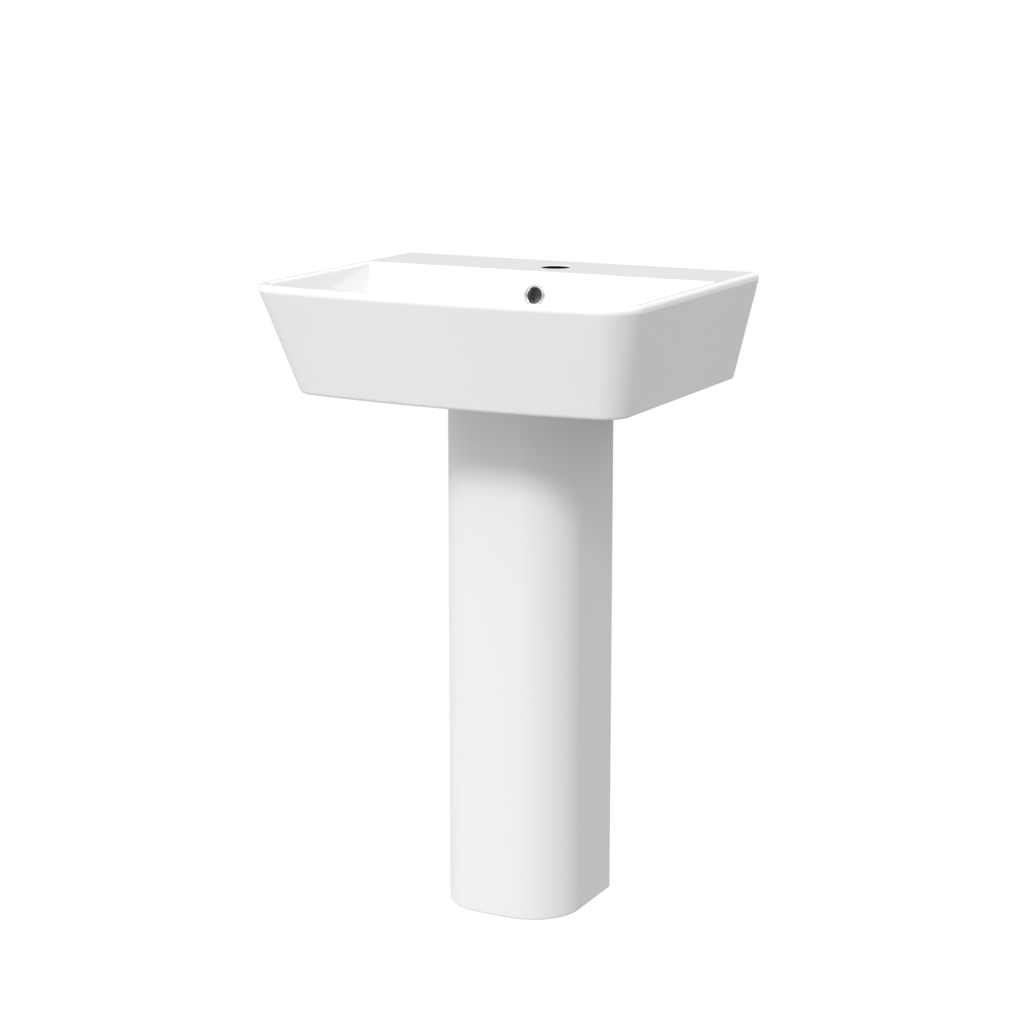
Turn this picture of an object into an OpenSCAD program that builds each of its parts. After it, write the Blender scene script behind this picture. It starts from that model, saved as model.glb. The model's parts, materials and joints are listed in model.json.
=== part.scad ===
// Pedestal sink: a square basin on a full pedestal, with its waste, trap and fixings.
// Millimetres, +Z up, front towards -Y. Modules are written from the wall plane, which is
// y = 0 there, and from_wall() then centres the whole assembly over the origin on the floor.

/* [Overall] */
// Height from the floor to the rim
total_h = 830; // [690:1:1000]
// Width across the rim, before its edge is rounded
basin_w = 520; // [480:1:640]
// Depth from the wall to the middle of the front rim
basin_d = 426; // [410:1:520]

/* [Basin] */
// Height of the basin's outer walls
basin_h = 140; // [130:1:175]
// How far each side wall leans in from the rim to the foot
side_lean = 35; // [20:1:50]
// How far the front wall leans in from the rim to the foot
front_lean = 52; // [30:1:58]
// How far the middle of the front stands ahead of its ends
front_bow = 14; // [4:1:20]
// Radius of the front corners at the rim
rim_corner_r = 44; // [34:1:60]
// Radius of the front corners at the foot
foot_corner_r = 34; // [20:1:50]
// Radius of the two corners against the wall
back_corner_r = 7; // [5:1:12]
// Thickness of the rim around the bowl
rim_w = 16; // [16:1:22]
// Depth of the flat deck behind the bowl
deck_d = 124; // [116:1:150]
// Thickness of the deck
deck_t = 14; // [10:1:18]
// Thickness of the panel against the wall
back_t = 12; // [10:1:16]
// Width of the lip around the hollow underside
foot_lip = 17; // [12:1:22]
// Rounding of the outer rim edge
rim_edge_r = 10; // [4:0.5:11]
// Rounding of the bottom edge
foot_edge_r = 4; // [2:0.5:8]

/* [Bowl] */
// Depth of the bowl at the waste
bowl_depth = 112; // [100:1:116]
// Lean of the bowl's side walls, in degrees
bowl_side_slope = 16; // [10:1:20]
// Lean of the bowl's front wall, in degrees
bowl_front_slope = 20; // [14:1:22]
// Lean of the bowl's back wall, in degrees
bowl_back_slope = 10; // [6:1:10]
// Corner radius of the bowl at its floor
bowl_floor_corner_r = 84; // [60:1:100]
// Rounding between the bowl's walls and its floor
bowl_fillet_r = 26; // [15:1:32]
// Rounding between the back wall and the floor
bowl_back_fillet_r = 11; // [6:1:12]
// Fall of the floor towards the waste, in degrees
floor_fall = 2; // [1:0.5:3]
// Thickness of the ceramic under the bowl
floor_t = 12; // [8:1:16]

/* [Tap hole and overflow] */
// Diameter of the tap hole
tap_hole_d = 38; // [35:0.5:46]
// Distance of the tap hole from the wall
tap_from_wall = 68; // [60:1:70]
// Glazed rounding at the top of the tap hole
tap_edge_r = 1; // [0.5:0.5:3]
// Diameter of the overflow hole
overflow_d = 24; // [20:0.5:29]
// Depth of the overflow hole's centre below the rim
overflow_drop = 30; // [26:1:34]
// Clear width of the overflow channel
channel_w = 34; // [26:1:40]
// Clear depth of the overflow channel
channel_d = 11; // [8:1:13]
// Wall of the overflow channel
channel_t = 7; // [5:1:9]

/* [Pedestal] */
// Width of the pedestal
pedestal_w = 182; // [165:1:220]
// Depth of the pedestal
pedestal_d = 165; // [150:1:198]
// Distance from the wall to the pedestal's open back
pedestal_from_wall = 81; // [60:1:85]
// Radius of the pedestal's front corners
pedestal_corner_r = 66; // [45:1:74]
// How far the middle of the pedestal's front stands ahead of its ends
pedestal_bow = 2; // [0.5:0.5:4]
// Thickness of the pedestal's wall
pedestal_t = 11; // [9:1:14]
// Rounding of the pedestal's bottom edge
pedestal_edge_r = 2.5; // [1:0.5:4]
// Thickness of the rubber pads between pedestal and basin
pad_t = 2; // [1:0.5:3]
// Distance between the two floor screws
floor_screw_gap = 116; // [100:1:120]
// Diameter of the floor screws' clearance through their bushes
floor_screw_d = 6.4; // [5:0.1:8]
// Thickness of the foot lugs
lug_t = 12; // [8:1:16]

/* [Waste] */
// Distance of the waste from the wall
waste_from_wall = 190; // [186:1:192]
// Diameter of the hole for the waste
waste_hole_d = 46; // [44:0.5:50]
// Height of the ceramic boss around the waste
waste_boss_h = 56; // [50:1:60]
// Outside diameter of the waste's thread (1 1/4 inch pipe)
waste_thread_d = 41.9; // [38:0.1:42.5]
// Length of the waste body below its flange
waste_l = 95; // [90:1:110]
// Diameter of the waste's flange
waste_flange_d = 63; // [60:1:65]
// Travel of the plug from open to shut
plug_travel = 8; // [6:1:9]

/* [Trap] */
// Outside diameter of the waste pipes
pipe_d = 32; // [30:0.5:34]
// Wall of the plastic pipes
pipe_t = 1.8; // [1.5:0.1:2.5]
// Diameter of the trap's head
trap_d = 74; // [70:1:76]
// Height of the trap's bottle below its shoulder
bottle_h = 88; // [80:1:100]
// Height of the outlet pipe's centre below the waste flange
outlet_drop = 190; // [184:1:230]
// How far the outlet pipe reaches into the wall
pipe_in_wall = 45; // [30:1:60]
// Lead of the bottle's screw thread
bottle_lead = 4; // [3:1:5]

/* [Wall fixings] */
// Distance between the two wall bolts
bolt_gap = 260; // [200:1:320]
// Height of the wall bolts below the rim
bolt_drop = 100; // [90:1:105]
// Diameter of the wall bolts
bolt_d = 10; // [8:0.5:12]
// How far the bolts reach into the wall
bolt_in_wall = 60; // [50:1:80]
// Diameter of the nylon wall plugs
plug_sleeve_d = 14; // [13.5:0.5:18]

/* [Clearances] */
// Radial gap of a screwed joint
thread_gap = 0.2; // [0.1:0.05:0.4]
// Radial gap around a pushed-in pipe or sleeve
slip_gap = 0.3; // [0.1:0.05:0.5]
// Gap between pieces that move past each other
move_gap = 0.4; // [0.3:0.05:0.8]

/* [Hidden] */
$fn = 48;

// Heights
basin_z = total_h - basin_h;
waste_z = total_h - bowl_depth;
under_z = waste_z - floor_t;
boss_z = waste_z - waste_boss_h;
pedestal_h = under_z - pad_t;
outlet_z = waste_z - outlet_drop;

// Plan sizes
wall_y = (basin_d - bolt_in_wall) / 2;
foot_w = basin_w - 2 * side_lean;
foot_d = basin_d - front_lean;
waste_y = -waste_from_wall;
pedestal_front = -pedestal_from_wall - pedestal_d;
boss_r = waste_hole_d / 2 + 13;
back_edge_share = 0.45;
mouth_edge_r = 4;
mouth_corner_r = rim_corner_r - rim_w;
mouth_back_r = 4;
seat_r = waste_flange_d / 2 + 1;
well_r = seat_r + 1.5;
wall_foot_z = waste_z + bowl_fillet_r + 4;
front_n = 16;
back_n = 8;
side_n = 4;
corner_n = 9;
edge_n = 5;
over = 1;

// Colours
ceramic = [0.96, 0.96, 0.95];
plastic = [0.93, 0.93, 0.92];
chrome = [0.78, 0.79, 0.81];
rubber = [0.16, 0.16, 0.17];
steel = [0.66, 0.67, 0.69];
nylon = [0.85, 0.85, 0.80];

// ---------- shared shapes ----------

module from_wall() translate([0, wall_y, 0]) children();

module at_waste(z) translate([0, waste_y, z]) children();

// Repeats its children on both sides of the middle.
module both_sides(gap) for (s = [-1, 1]) translate([s * gap / 2, 0, 0]) children();

// A pipe along +Z.
module tube(r, bore, h) difference() {
    cylinder(r = r, h = h);
    translate([0, 0, -over]) cylinder(r = bore, h = h + 2 * over);
}

// A plastic nut with grip ribs: threaded bore, then a lip with a smaller hole at its top.
module ribbed_nut(r, h, bore, lip_t, lip_bore, ribs) difference() {
    union() {
        cylinder(r = r, h = h);
        for (i = [0 : ribs - 1]) rotate([0, 0, i * 360 / ribs]) translate([r, 0, h * 0.1])
            cylinder(r = 1.8, h = h * 0.8, $fn = 16);
    }
    translate([0, 0, -over]) cylinder(r = bore, h = h - lip_t + over);
    translate([0, 0, -over]) cylinder(r = lip_bore, h = h + 2 * over);
}

function lerp(a, b, t) = a + (b - a) * t;

function lift(pts, z) = [for (p = pts) [p[0], p[1], z]];

// Points of an arc without its first one.
function arc_on(cx, cy, r, a0, a1, n) =
    [for (i = [1 : n]) let (a = lerp(a0, a1, i / n)) [cx + r * cos(a), cy + r * sin(a)]];

// Points along a straight line without its first one.
function line_to(from, to, n) = [for (i = [1 : n]) lerp(from, to, i / n)];

// A rectangle in plan with a bowed front and four rounded corners, anticlockwise.
function plan(hw, front, back, rf, rb, bow) =
    let (
        lean = atan(2 * bow / (hw - rf)),
        end_x = hw - rf + rf * sin(lean),
        end_y = front + bow,
        centre_y = end_y + rf * cos(lean)
    )
    concat(
        [for (i = [0 : front_n]) let (x = lerp(-end_x, end_x, i / front_n)) [x, front + bow * pow(x / end_x, 2)]],
        arc_on(hw - rf, centre_y, rf, lean - 90, 0, corner_n),
        line_to([hw, centre_y], [hw, back - rb], side_n),
        arc_on(hw - rb, back - rb, rb, 0, 90, edge_n),
        line_to([hw - rb, back], [rb - hw, back], back_n),
        arc_on(rb - hw, back - rb, rb, 90, 180, edge_n),
        line_to([-hw, back - rb], [-hw, centre_y], side_n),
        [for (p = arc_on(rf - hw, centre_y, rf, 180, 270 - lean, corner_n)) if (p[0] < -end_x - 0.01) p]
    );

// A closed skin through rings that have equally many points.
module skin(rings) {
    n = len(rings[0]);
    last = len(rings) - 1;
    walls = [
        for (i = [0 : last - 1]) for (j = [0 : n - 1])
            let (a = i * n + j, b = i * n + (j + 1) % n, c = b + n, d = a + n)
            each [[a, d, c], [a, c, b]]
    ];
    first_cap = [[for (j = [0 : n - 1]) j]];
    last_cap = [[for (j = [n - 1 : -1 : 0]) last * n + j]];
    polyhedron(points = [for (r = rings) each r], faces = concat(first_cap, walls, last_cap), convexity = 10);
}

// ---------- basin ----------

// Outside of the basin at height z, drawn in by inset, less at the back.
function outer_plan(z, inset) =
    let (t = (z - basin_z) / basin_h)
    plan(
        lerp(foot_w, basin_w, t) / 2 - inset,
        inset - lerp(foot_d, basin_d, t),
        -inset * back_edge_share,
        lerp(foot_corner_r, rim_corner_r, t) - inset,
        back_corner_r - inset * back_edge_share,
        front_bow
    );

// Inside of the bowl at a depth below the rim. Its corners open out with depth.
function bowl_plan(depth, inset, back_inset) =
    let (t = depth / bowl_depth)
    plan(
        basin_w / 2 - rim_w - depth * tan(bowl_side_slope) - inset,
        rim_w - basin_d + depth * tan(bowl_front_slope) + inset,
        -deck_d - depth * tan(bowl_back_slope) - back_inset,
        lerp(mouth_corner_r, bowl_floor_corner_r, t) - inset,
        lerp(mouth_back_r, bowl_floor_corner_r, t) - inset,
        front_bow * (1 - t / 2)
    );

function from_waste(p) = norm([p[0], p[1] - waste_y]);

function floor_z(p) = waste_z + max(0, from_waste(p) - well_r) * tan(floor_fall);

function foot_ring(a) =
    let (z = basin_z + foot_edge_r * (1 - cos(a)))
    lift(outer_plan(z, foot_edge_r * (1 - sin(a))), z);

function rim_ring(a) =
    let (z = total_h - rim_edge_r * (1 - sin(a)))
    lift(outer_plan(z, rim_edge_r * (1 - cos(a))), z);

function mouth_ring(a) =
    let (depth = mouth_edge_r * (1 - cos(a)), out = mouth_edge_r * (1 - sin(a)))
    lift(bowl_plan(depth, -out, -out), total_h - depth);

// Ring at angle a of the rounding from the foot of the walls to the floor.
function fillet_ring(a) =
    let (
        depth = total_h - lerp(wall_foot_z, waste_z, sin(a)),
        pts = bowl_plan(depth, bowl_fillet_r * (1 - cos(a)), bowl_back_fillet_r * (1 - cos(a)))
    )
    [for (p = pts) [p[0], p[1], lerp(wall_foot_z, floor_z(p), sin(a))]];

function well_ring() = [
    for (p = bowl_plan(bowl_depth, bowl_fillet_r, bowl_back_fillet_r))
        let (a = atan2(p[1] - waste_y, p[0]))
        [well_r * cos(a), waste_y + well_r * sin(a), waste_z]
];

// Back wall of the bowl at height z: its inner face, and its outer face behind it.
function back_in(z) = -deck_d - (total_h - z) * tan(bowl_back_slope);

function back_out(z) = back_in(z) + back_t;

module basin_block() skin(concat(
    [for (i = [0 : edge_n]) foot_ring(90 * i / edge_n)],
    [for (i = [0 : edge_n]) rim_ring(90 * i / edge_n)],
    [for (i = [0 : edge_n]) mouth_ring(90 * i / edge_n)],
    [for (i = [0 : edge_n + 1]) fillet_ring(90 * i / (edge_n + 1))],
    [well_ring()]
));

// Shallow hollow under the bowl, which also takes the top of the pedestal.
module underside_hollow()
    translate([0, 0, basin_z - over]) linear_extrude(under_z - basin_z + over)
        polygon(plan(foot_w / 2 - foot_lip, foot_lip - foot_d, -back_t, foot_corner_r - foot_lip / 2, 4, front_bow));

// Hollow under the deck, open below, that gives room for a tap's tails and the wall nuts.
module deck_hollow() {
    top_z = total_h - deck_t;
    low = foot_w / 2 - foot_lip;
    high = low + side_lean * (top_z - basin_z) / basin_h;
    skin([
        for (s = [[low, basin_z - over], [high, top_z]])
            [[-s[0], back_out(s[1]), s[1]], [s[0], back_out(s[1]), s[1]], [s[0], -back_t, s[1]], [-s[0], -back_t, s[1]]]
    ]);
}

// A duct that follows the bowl's back wall and then turns under the floor to the waste.
module duct(width, near, far, top_z, low_z, rise) {
    translate([-width / 2, 0, 0]) rotate([90, 0, 90]) linear_extrude(width) polygon([
        [back_out(top_z) + near, top_z],
        [back_out(low_z) + near, low_z],
        [back_out(low_z) + far, low_z],
        [back_out(top_z) + far, top_z]
    ]);
    translate([-width / 2, waste_y, low_z]) cube([width, back_out(low_z) + far - waste_y, rise]);
}

module channel_body()
    duct(channel_w + 2 * channel_t, -back_t / 2, channel_d + channel_t, total_h - deck_t + over, boss_z, under_z + over - boss_z);

module channel_cut()
    duct(channel_w, 0, channel_d, total_h - deck_t - channel_t, boss_z + channel_t, 14);

module tap_hole() translate([0, -tap_from_wall, 0]) {
    translate([0, 0, total_h - deck_t - over]) cylinder(d = tap_hole_d, h = deck_t + 2 * over);
    translate([0, 0, total_h - tap_edge_r]) rotate_extrude() difference() {
        square([tap_hole_d / 2 + tap_edge_r, tap_edge_r + over]);
        translate([tap_hole_d / 2 + tap_edge_r, 0]) circle(tap_edge_r);
    }
}

module basin() color(ceramic) from_wall() difference() {
    union() {
        difference() {
            basin_block();
            underside_hollow();
            deck_hollow();
        }
        channel_body();
        at_waste(boss_z) cylinder(r = boss_r, h = under_z + over - boss_z);
    }
    channel_cut();
    tap_hole();
    at_waste(boss_z - over) cylinder(d = waste_hole_d, h = waste_boss_h + 2 * over);
    at_waste(waste_z - flange_seat) cylinder(r = seat_r, h = flange_seat + over);
    translate([0, back_out(total_h - overflow_drop + overflow_d / 2) + over, total_h - overflow_drop]) rotate([90, 0, 0])
        cylinder(d = overflow_d, h = back_t + overflow_d / 2);
    both_sides(bolt_gap) translate([0, over, total_h - bolt_drop]) rotate([90, 0, 0])
        cylinder(d = plug_sleeve_d, h = back_t + 2 * over);
}

// ---------- pedestal ----------

function pedestal_plan(inset) = plan(
    pedestal_w / 2 - inset, pedestal_front + inset, -pedestal_from_wall - inset,
    pedestal_corner_r - inset, 3 - inset, pedestal_bow
);

lug_r = floor_screw_d / 2 + 11;
lug_y = -pedestal_from_wall - lug_r - 2;
bush_wall = 1.6;
bush_hole_r = floor_screw_d / 2 + bush_wall + slip_gap / 2;

module pedestal_shell() difference() {
    skin(concat(
        [for (i = [0 : 3]) let (a = 30 * i) lift(pedestal_plan(pedestal_edge_r * (1 - sin(a))), pedestal_edge_r * (1 - cos(a)))],
        [lift(pedestal_plan(0), pedestal_h)]
    ));
    translate([0, 0, -over]) linear_extrude(pedestal_h + 2 * over) polygon(plan(
        pedestal_w / 2 - pedestal_t, pedestal_front + pedestal_t, -pedestal_from_wall + over,
        pedestal_corner_r - pedestal_t, 0.5, pedestal_bow
    ));
}

// Lug inside each back foot, with the hole for its floor screw.
module foot_lug(side) {
    reach = (pedestal_w - floor_screw_gap) / 2 - pedestal_t / 2;
    translate([side * floor_screw_gap / 2, lug_y, 0]) {
        cylinder(r = lug_r, h = lug_t);
        translate([side > 0 ? 0 : -reach, -lug_r, 0]) cube([reach, 2 * lug_r, lug_t]);
    }
}

module pedestal() color(ceramic) from_wall() difference() {
    union() {
        pedestal_shell();
        foot_lug(-1);
        foot_lug(1);
    }
    both_sides(floor_screw_gap) translate([0, lug_y, -over]) cylinder(r = bush_hole_r, h = lug_t + 2 * over);
}

pad_w = 7;
pad_y = [-pedestal_from_wall - 22, pedestal_front + pedestal_corner_r + 12];

module seating_pads() color(rubber) from_wall()
    both_sides(pedestal_w - pedestal_t) for (y = pad_y)
        translate([0, y, pedestal_h]) linear_extrude(pad_t) {
            square([pad_w, 2 * pad_w], center = true);
            for (s = [-1, 1]) translate([0, pad_w * s]) circle(d = pad_w);
        }

module foot_bushes() color(nylon) from_wall()
    both_sides(floor_screw_gap) translate([0, lug_y, 1]) difference() {
        union() {
            cylinder(r = floor_screw_d / 2 + bush_wall, h = lug_t);
            translate([0, 0, lug_t - 1]) cylinder(r = floor_screw_d / 2 + 5, h = 2.5);
        }
        translate([0, 0, -over]) cylinder(d = floor_screw_d, h = lug_t + 5);
    }

// ---------- overflow ring ----------

ring_tube_r = overflow_d / 2 - slip_gap;
ring_wall = 1.6;
ring_rim_r = overflow_d / 2 + 2.6;

// Chromed ring: a dished rim square to the bowl's wall and a push-in tube.
module overflow_ring() color(chrome) from_wall()
    translate([0, back_in(total_h - overflow_drop), total_h - overflow_drop]) rotate([90 - bowl_back_slope, 0, 0]) difference() {
        union() {
            rotate_extrude() {
                translate([ring_tube_r - ring_wall, 0.2]) square([ring_rim_r - ring_tube_r + ring_wall - 0.8, 1.6]);
                translate([ring_rim_r - 0.8, 1]) circle(0.8, $fn = 24);
            }
            rotate([bowl_back_slope, 0, 0]) translate([0, 0, -8]) cylinder(r = ring_tube_r, h = 9.4);
        }
        rotate([bowl_back_slope, 0, 0]) translate([0, 0, -9]) cylinder(r = ring_tube_r - ring_wall, h = 14);
    }

// ---------- waste ----------

flange_seat = 2.5;
washer_t = 1;
flange_t = 2.5;
flange_z = waste_z - flange_seat + washer_t;
flange_top = flange_z + flange_t;
waste_end = flange_z - waste_l;
thread_r = waste_thread_d / 2;
waste_bore = thread_r - 2.6;
mouth_r = thread_r - 1;
mouth_depth = 10;
bar_h = 5;
bar_z = boss_z + 18;
hub_r = 7.5;
stud_r = 4;
slot_h = 12;

module waste_body() color(chrome) from_wall() at_waste(0) {
    difference() {
        union() {
            translate([0, 0, waste_end]) cylinder(r = thread_r, h = flange_z + over - waste_end);
            translate([0, 0, flange_z]) cylinder(r1 = waste_flange_d / 2, r2 = waste_flange_d / 2 - 1.2, h = flange_t);
        }
        translate([0, 0, waste_end - over]) cylinder(r = waste_bore, h = waste_l + flange_t + 3 * over);
        translate([0, 0, flange_top - mouth_depth]) cylinder(r = mouth_r, h = mouth_depth + over);
        translate([0, 0, flange_top - 1.5]) cylinder(r1 = mouth_r, r2 = mouth_r + 2, h = 1.5 + 0.01);
        for (a = [0 : 90 : 270]) rotate([0, 0, a + 45]) translate([0, -5, boss_z + 3])
            cube([thread_r + over, 10, slot_h]);
    }
    difference() {
        union() {
            for (a = [0, 90]) rotate([0, 0, a]) translate([-waste_bore - over, -2, bar_z])
                cube([2 * (waste_bore + over), 4, bar_h]);
            translate([0, 0, bar_z]) cylinder(r = hub_r, h = bar_h);
        }
        translate([0, 0, bar_z - over]) cylinder(r = stud_r + thread_gap, h = bar_h + 2 * over);
    }
}

module flange_washer() color(rubber) from_wall() at_waste(waste_z - flange_seat)
    tube(waste_flange_d / 2 - 0.5, waste_hole_d / 2 + 0.5, washer_t);

cone_t = 7;
cone_lip = 2.5;

// Tapered rubber washer that seals the boss from below.
module cone_washer() color(rubber) from_wall() at_waste(boss_z - cone_t) difference() {
    union() {
        cylinder(r = boss_r - 3, h = cone_t - cone_lip + 0.01);
        translate([0, 0, cone_t - cone_lip]) cylinder(r1 = boss_r - 3, r2 = boss_r - 6, h = cone_lip);
    }
    translate([0, 0, -over]) cylinder(r = thread_r + thread_gap, h = cone_t + 2 * over);
}

backnut_h = 10;

module backnut() color(chrome) from_wall() at_waste(boss_z - cone_t - backnut_h) difference() {
    union() {
        cylinder(r = thread_r + 8, h = backnut_h, $fn = 8);
        translate([0, 0, backnut_h - 2.5]) cylinder(r = boss_r - 4, h = 2.5);
    }
    translate([0, 0, -over]) cylinder(r = thread_r + thread_gap, h = backnut_h + 2 * over);
}

// Push-to-open mechanism: housing, spring, rod and cap.
cart_r = 8;
cart_bore = 6.3;
cart_top = flange_top - 3;
cart_floor = bar_z + bar_h + 3;
cart_lid = 2;
rod_r = 4;
rod_head_r = cart_bore - move_gap;
rod_head_t = 4;
rod_head_z = cart_top - cart_lid - rod_head_t - 0.3;
cap_gap = 0.4;
cap_z = flange_top + cap_gap + plug_travel;
cap_r = waste_flange_d / 2 - 1;
socket_z = cart_top + plug_travel + 0.6;
spring_wire = 1;
spring_turns = 6;

module click_cartridge() color(plastic) from_wall() at_waste(0) difference() {
    union() {
        translate([0, 0, bar_z - 4]) cylinder(r = stud_r, h = bar_h + 4 + over);
        translate([0, 0, bar_z + bar_h]) cylinder(r = cart_r, h = cart_top - bar_z - bar_h);
        translate([0, 0, bar_z + bar_h]) cylinder(r = cart_r + 2, h = 5, $fn = 6);
    }
    translate([0, 0, cart_floor]) cylinder(r = cart_bore, h = cart_top - cart_lid - cart_floor);
    translate([0, 0, cart_floor]) cylinder(r = rod_r + move_gap, h = cart_top - cart_floor + over);
}

// One ring of the spring's wire, at angle a around a coil of radius r.
function wire_ring(r, z, a) = [
    for (i = [0 : 7]) let (w = -45 * i) [
        (r + spring_wire / 2 * cos(w)) * cos(a), (r + spring_wire / 2 * cos(w)) * sin(a), z + spring_wire / 2 * sin(w)
    ]
];

module plug_spring() color(steel) from_wall() at_waste(0) {
    low = cart_floor + spring_wire / 2 + 0.1;
    high = rod_head_z - spring_wire / 2 - 0.1;
    steps = spring_turns * 12;
    skin([for (i = [0 : steps]) wire_ring(cart_bore - move_gap - spring_wire / 2, lerp(low, high, i / steps), 30 * i)]);
}

module plug_rod() color(steel) from_wall() at_waste(rod_head_z) {
    cylinder(r = rod_head_r, h = rod_head_t);
    cylinder(r = rod_r, h = cap_z + 3 - rod_head_z);
}

module plug_cap() color(chrome) from_wall() at_waste(0) difference() {
    union() {
        translate([0, 0, cap_z]) rotate_extrude() intersection() {
            square([cap_r, 10]);
            translate([0, 6.5 - 120]) circle(120, $fn = 180);
            union() {
                square([cap_r - 1, 10]);
                translate([cap_r - 1, 1]) circle(1, $fn = 24);
                translate([0, 1]) square([cap_r, 9]);
            }
        }
        translate([0, 0, socket_z]) cylinder(r = hub_r, h = cap_z - socket_z + over);
    }
    translate([0, 0, socket_z - over]) cylinder(r = rod_r + thread_gap / 2, h = cap_z + 3.1 - socket_z + over);
}

module plug_seal() color(rubber) from_wall() at_waste(cap_z - 2.4)
    tube(mouth_r - move_gap, mouth_r - 4, 2.4);

// ---------- trap ----------

pipe_r = pipe_d / 2;
pipe_bore = pipe_r - pipe_t;
seal_t = 3;
tube_flange_t = 3;
head_r = trap_d / 2;
head_wall = 3;
head_h = 50;
head_z = outlet_z - head_h / 2;
head_top = head_z + head_h;
neck_r = pipe_r + 5;
neck_h = 16;
neck_top = head_top + neck_h;
socket_wall = 2.6;
nut_h = 22;
nut_lip = 4;
inlet_nut_h = 30;
tube_top = waste_end - seal_t;
ring_t = 2.4;
shoulder_z = head_z - ring_t - 0.6;
bottle_r = head_r - 1;
bottle_neck_r = head_r - head_wall - move_gap;
bottle_neck_h = 14;
bottle_wall = 2.4;
bottle_end = shoulder_z - bottle_h;
tube_end = bottle_end + 22;
branch_end = waste_y + head_r + 26;
mark_y = -6;
mark_w = 1.5;
mark_deep = 0.4;

module inlet_washer() color(rubber) from_wall() at_waste(tube_top) tube(thread_r - 0.4, pipe_bore, seal_t);

// Nut that draws the dip tube's flange up against the waste.
module inlet_nut() color(plastic) from_wall() at_waste(tube_top - tube_flange_t - nut_lip + inlet_nut_h)
    mirror([0, 0, 1]) ribbed_nut(thread_r + 6, inlet_nut_h, thread_r + thread_gap, nut_lip, pipe_r + slip_gap, 16);

module dip_tube() color(plastic) from_wall() at_waste(0) difference() {
    union() {
        translate([0, 0, tube_end]) cylinder(r = pipe_r, h = tube_top - tube_end);
        translate([0, 0, tube_top - tube_flange_t]) cylinder(r = thread_r - 0.4, h = tube_flange_t);
    }
    translate([0, 0, tube_end - over]) cylinder(r = pipe_bore, h = tube_top - tube_end + 2 * over);
}

// Tapered ring squeezed between a pipe, a socket's mouth and its nut.
module pipe_seal() difference() {
    cylinder(r1 = pipe_r + 2.4, r2 = neck_r - 0.4, h = 5);
    translate([0, 0, -over]) cylinder(r = pipe_r + 0.05, h = 7);
}

// Mouth of a compression joint: a socket with a seat for the tapered seal.
module socket_cut(depth) {
    translate([0, 0, -depth]) cylinder(r = pipe_r + slip_gap, h = depth + over);
    translate([0, 0, -2.5]) cylinder(r1 = pipe_r + 2.5, r2 = neck_r - socket_wall + 1.9, h = 2.5 + 0.01);
}

module top_seal() color(rubber) from_wall() at_waste(neck_top - 2.3) pipe_seal();

module top_nut() color(plastic) from_wall() at_waste(neck_top + 2.9 + nut_lip - nut_h)
    ribbed_nut(neck_r + 4.5, nut_h, neck_r + thread_gap, nut_lip, pipe_r + slip_gap, 14);

module trap_head() color(plastic) from_wall() difference() {
    union() {
        at_waste(head_z) cylinder(r = head_r, h = head_h);
        at_waste(head_top - over) cylinder(r = neck_r, h = neck_h + over);
        at_waste(head_z) cylinder(r = head_r + 1.5, h = 7);
        translate([0, waste_y, outlet_z]) rotate([-90, 0, 0]) cylinder(r = neck_r, h = branch_end - waste_y);
    }
    at_waste(head_z - over) cylinder(r = head_r - head_wall, h = head_h - head_wall + over);
    at_waste(neck_top) socket_cut(neck_h + head_wall + 2 * over);
    translate([0, branch_end, outlet_z]) rotate([-90, 0, 0]) socket_cut(26 + head_wall + 2);
}

module bottle_ring() color(rubber) from_wall() at_waste(shoulder_z + 0.3)
    tube(bottle_r + 0.5, bottle_neck_r + move_gap, ring_t - 0.1);

// Screw-on bottle with a rounded end and a grip band.
module trap_bottle() color(plastic) from_wall() at_waste(0) difference() {
    union() {
        translate([0, 0, bottle_end]) rotate_extrude() {
            translate([0, 14]) square([bottle_r, bottle_h - 14]);
            square([bottle_r - 14, 15]);
            translate([bottle_r - 14, 14]) circle(14);
        }
        translate([0, 0, shoulder_z - 14]) cylinder(r = bottle_r + 2, h = 14);
        for (i = [0 : 11]) rotate([0, 0, 30 * i]) translate([bottle_r + 1.5, 0, shoulder_z - 14])
            cylinder(r = 2.2, h = 12, $fn = 16);
        translate([0, 0, shoulder_z - over]) cylinder(r = bottle_neck_r, h = bottle_neck_h + over);
    }
    translate([0, 0, bottle_end + bottle_wall]) rotate_extrude() {
        translate([0, 12]) square([bottle_neck_r - bottle_wall, bottle_h + bottle_neck_h]);
        square([bottle_neck_r - bottle_wall - 12, 13]);
        translate([bottle_neck_r - bottle_wall - 12, 12]) circle(12);
    }
}

module at_branch(y) translate([0, y, outlet_z]) rotate([-90, 0, 0]) children();

module outlet_seal() color(rubber) from_wall() at_branch(branch_end - 2.3) pipe_seal();

module outlet_nut() color(plastic) from_wall() at_branch(branch_end + 2.9 + nut_lip - nut_h)
    ribbed_nut(neck_r + 4.5, nut_h, neck_r + thread_gap, nut_lip, pipe_r + slip_gap, 14);

// Straight pipe into the wall, with a shallow ring that marks how far it goes in.
module outlet_pipe() color(plastic) from_wall() difference() {
    at_branch(branch_end - 24) tube(pipe_r, pipe_bore, pipe_in_wall - branch_end + 24);
    at_branch(mark_y) tube(pipe_r + over, pipe_r - mark_deep, mark_w);
}

// Cover plate around the pipe at the wall.
module pipe_flange() color(chrome) from_wall() at_branch(0) mirror([0, 0, 1]) difference() {
    rotate_extrude() intersection() {
        square([pipe_r + 20, 14]);
        translate([0, -42]) circle(56, $fn = 120);
    }
    translate([0, 0, -over]) rotate_extrude() intersection() {
        square([pipe_r + 18, 14]);
        translate([0, -42]) circle(53.5, $fn = 120);
    }
    translate([0, 0, -over]) cylinder(r = pipe_r + slip_gap, h = 20);
}

// ---------- wall fixings ----------

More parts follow.
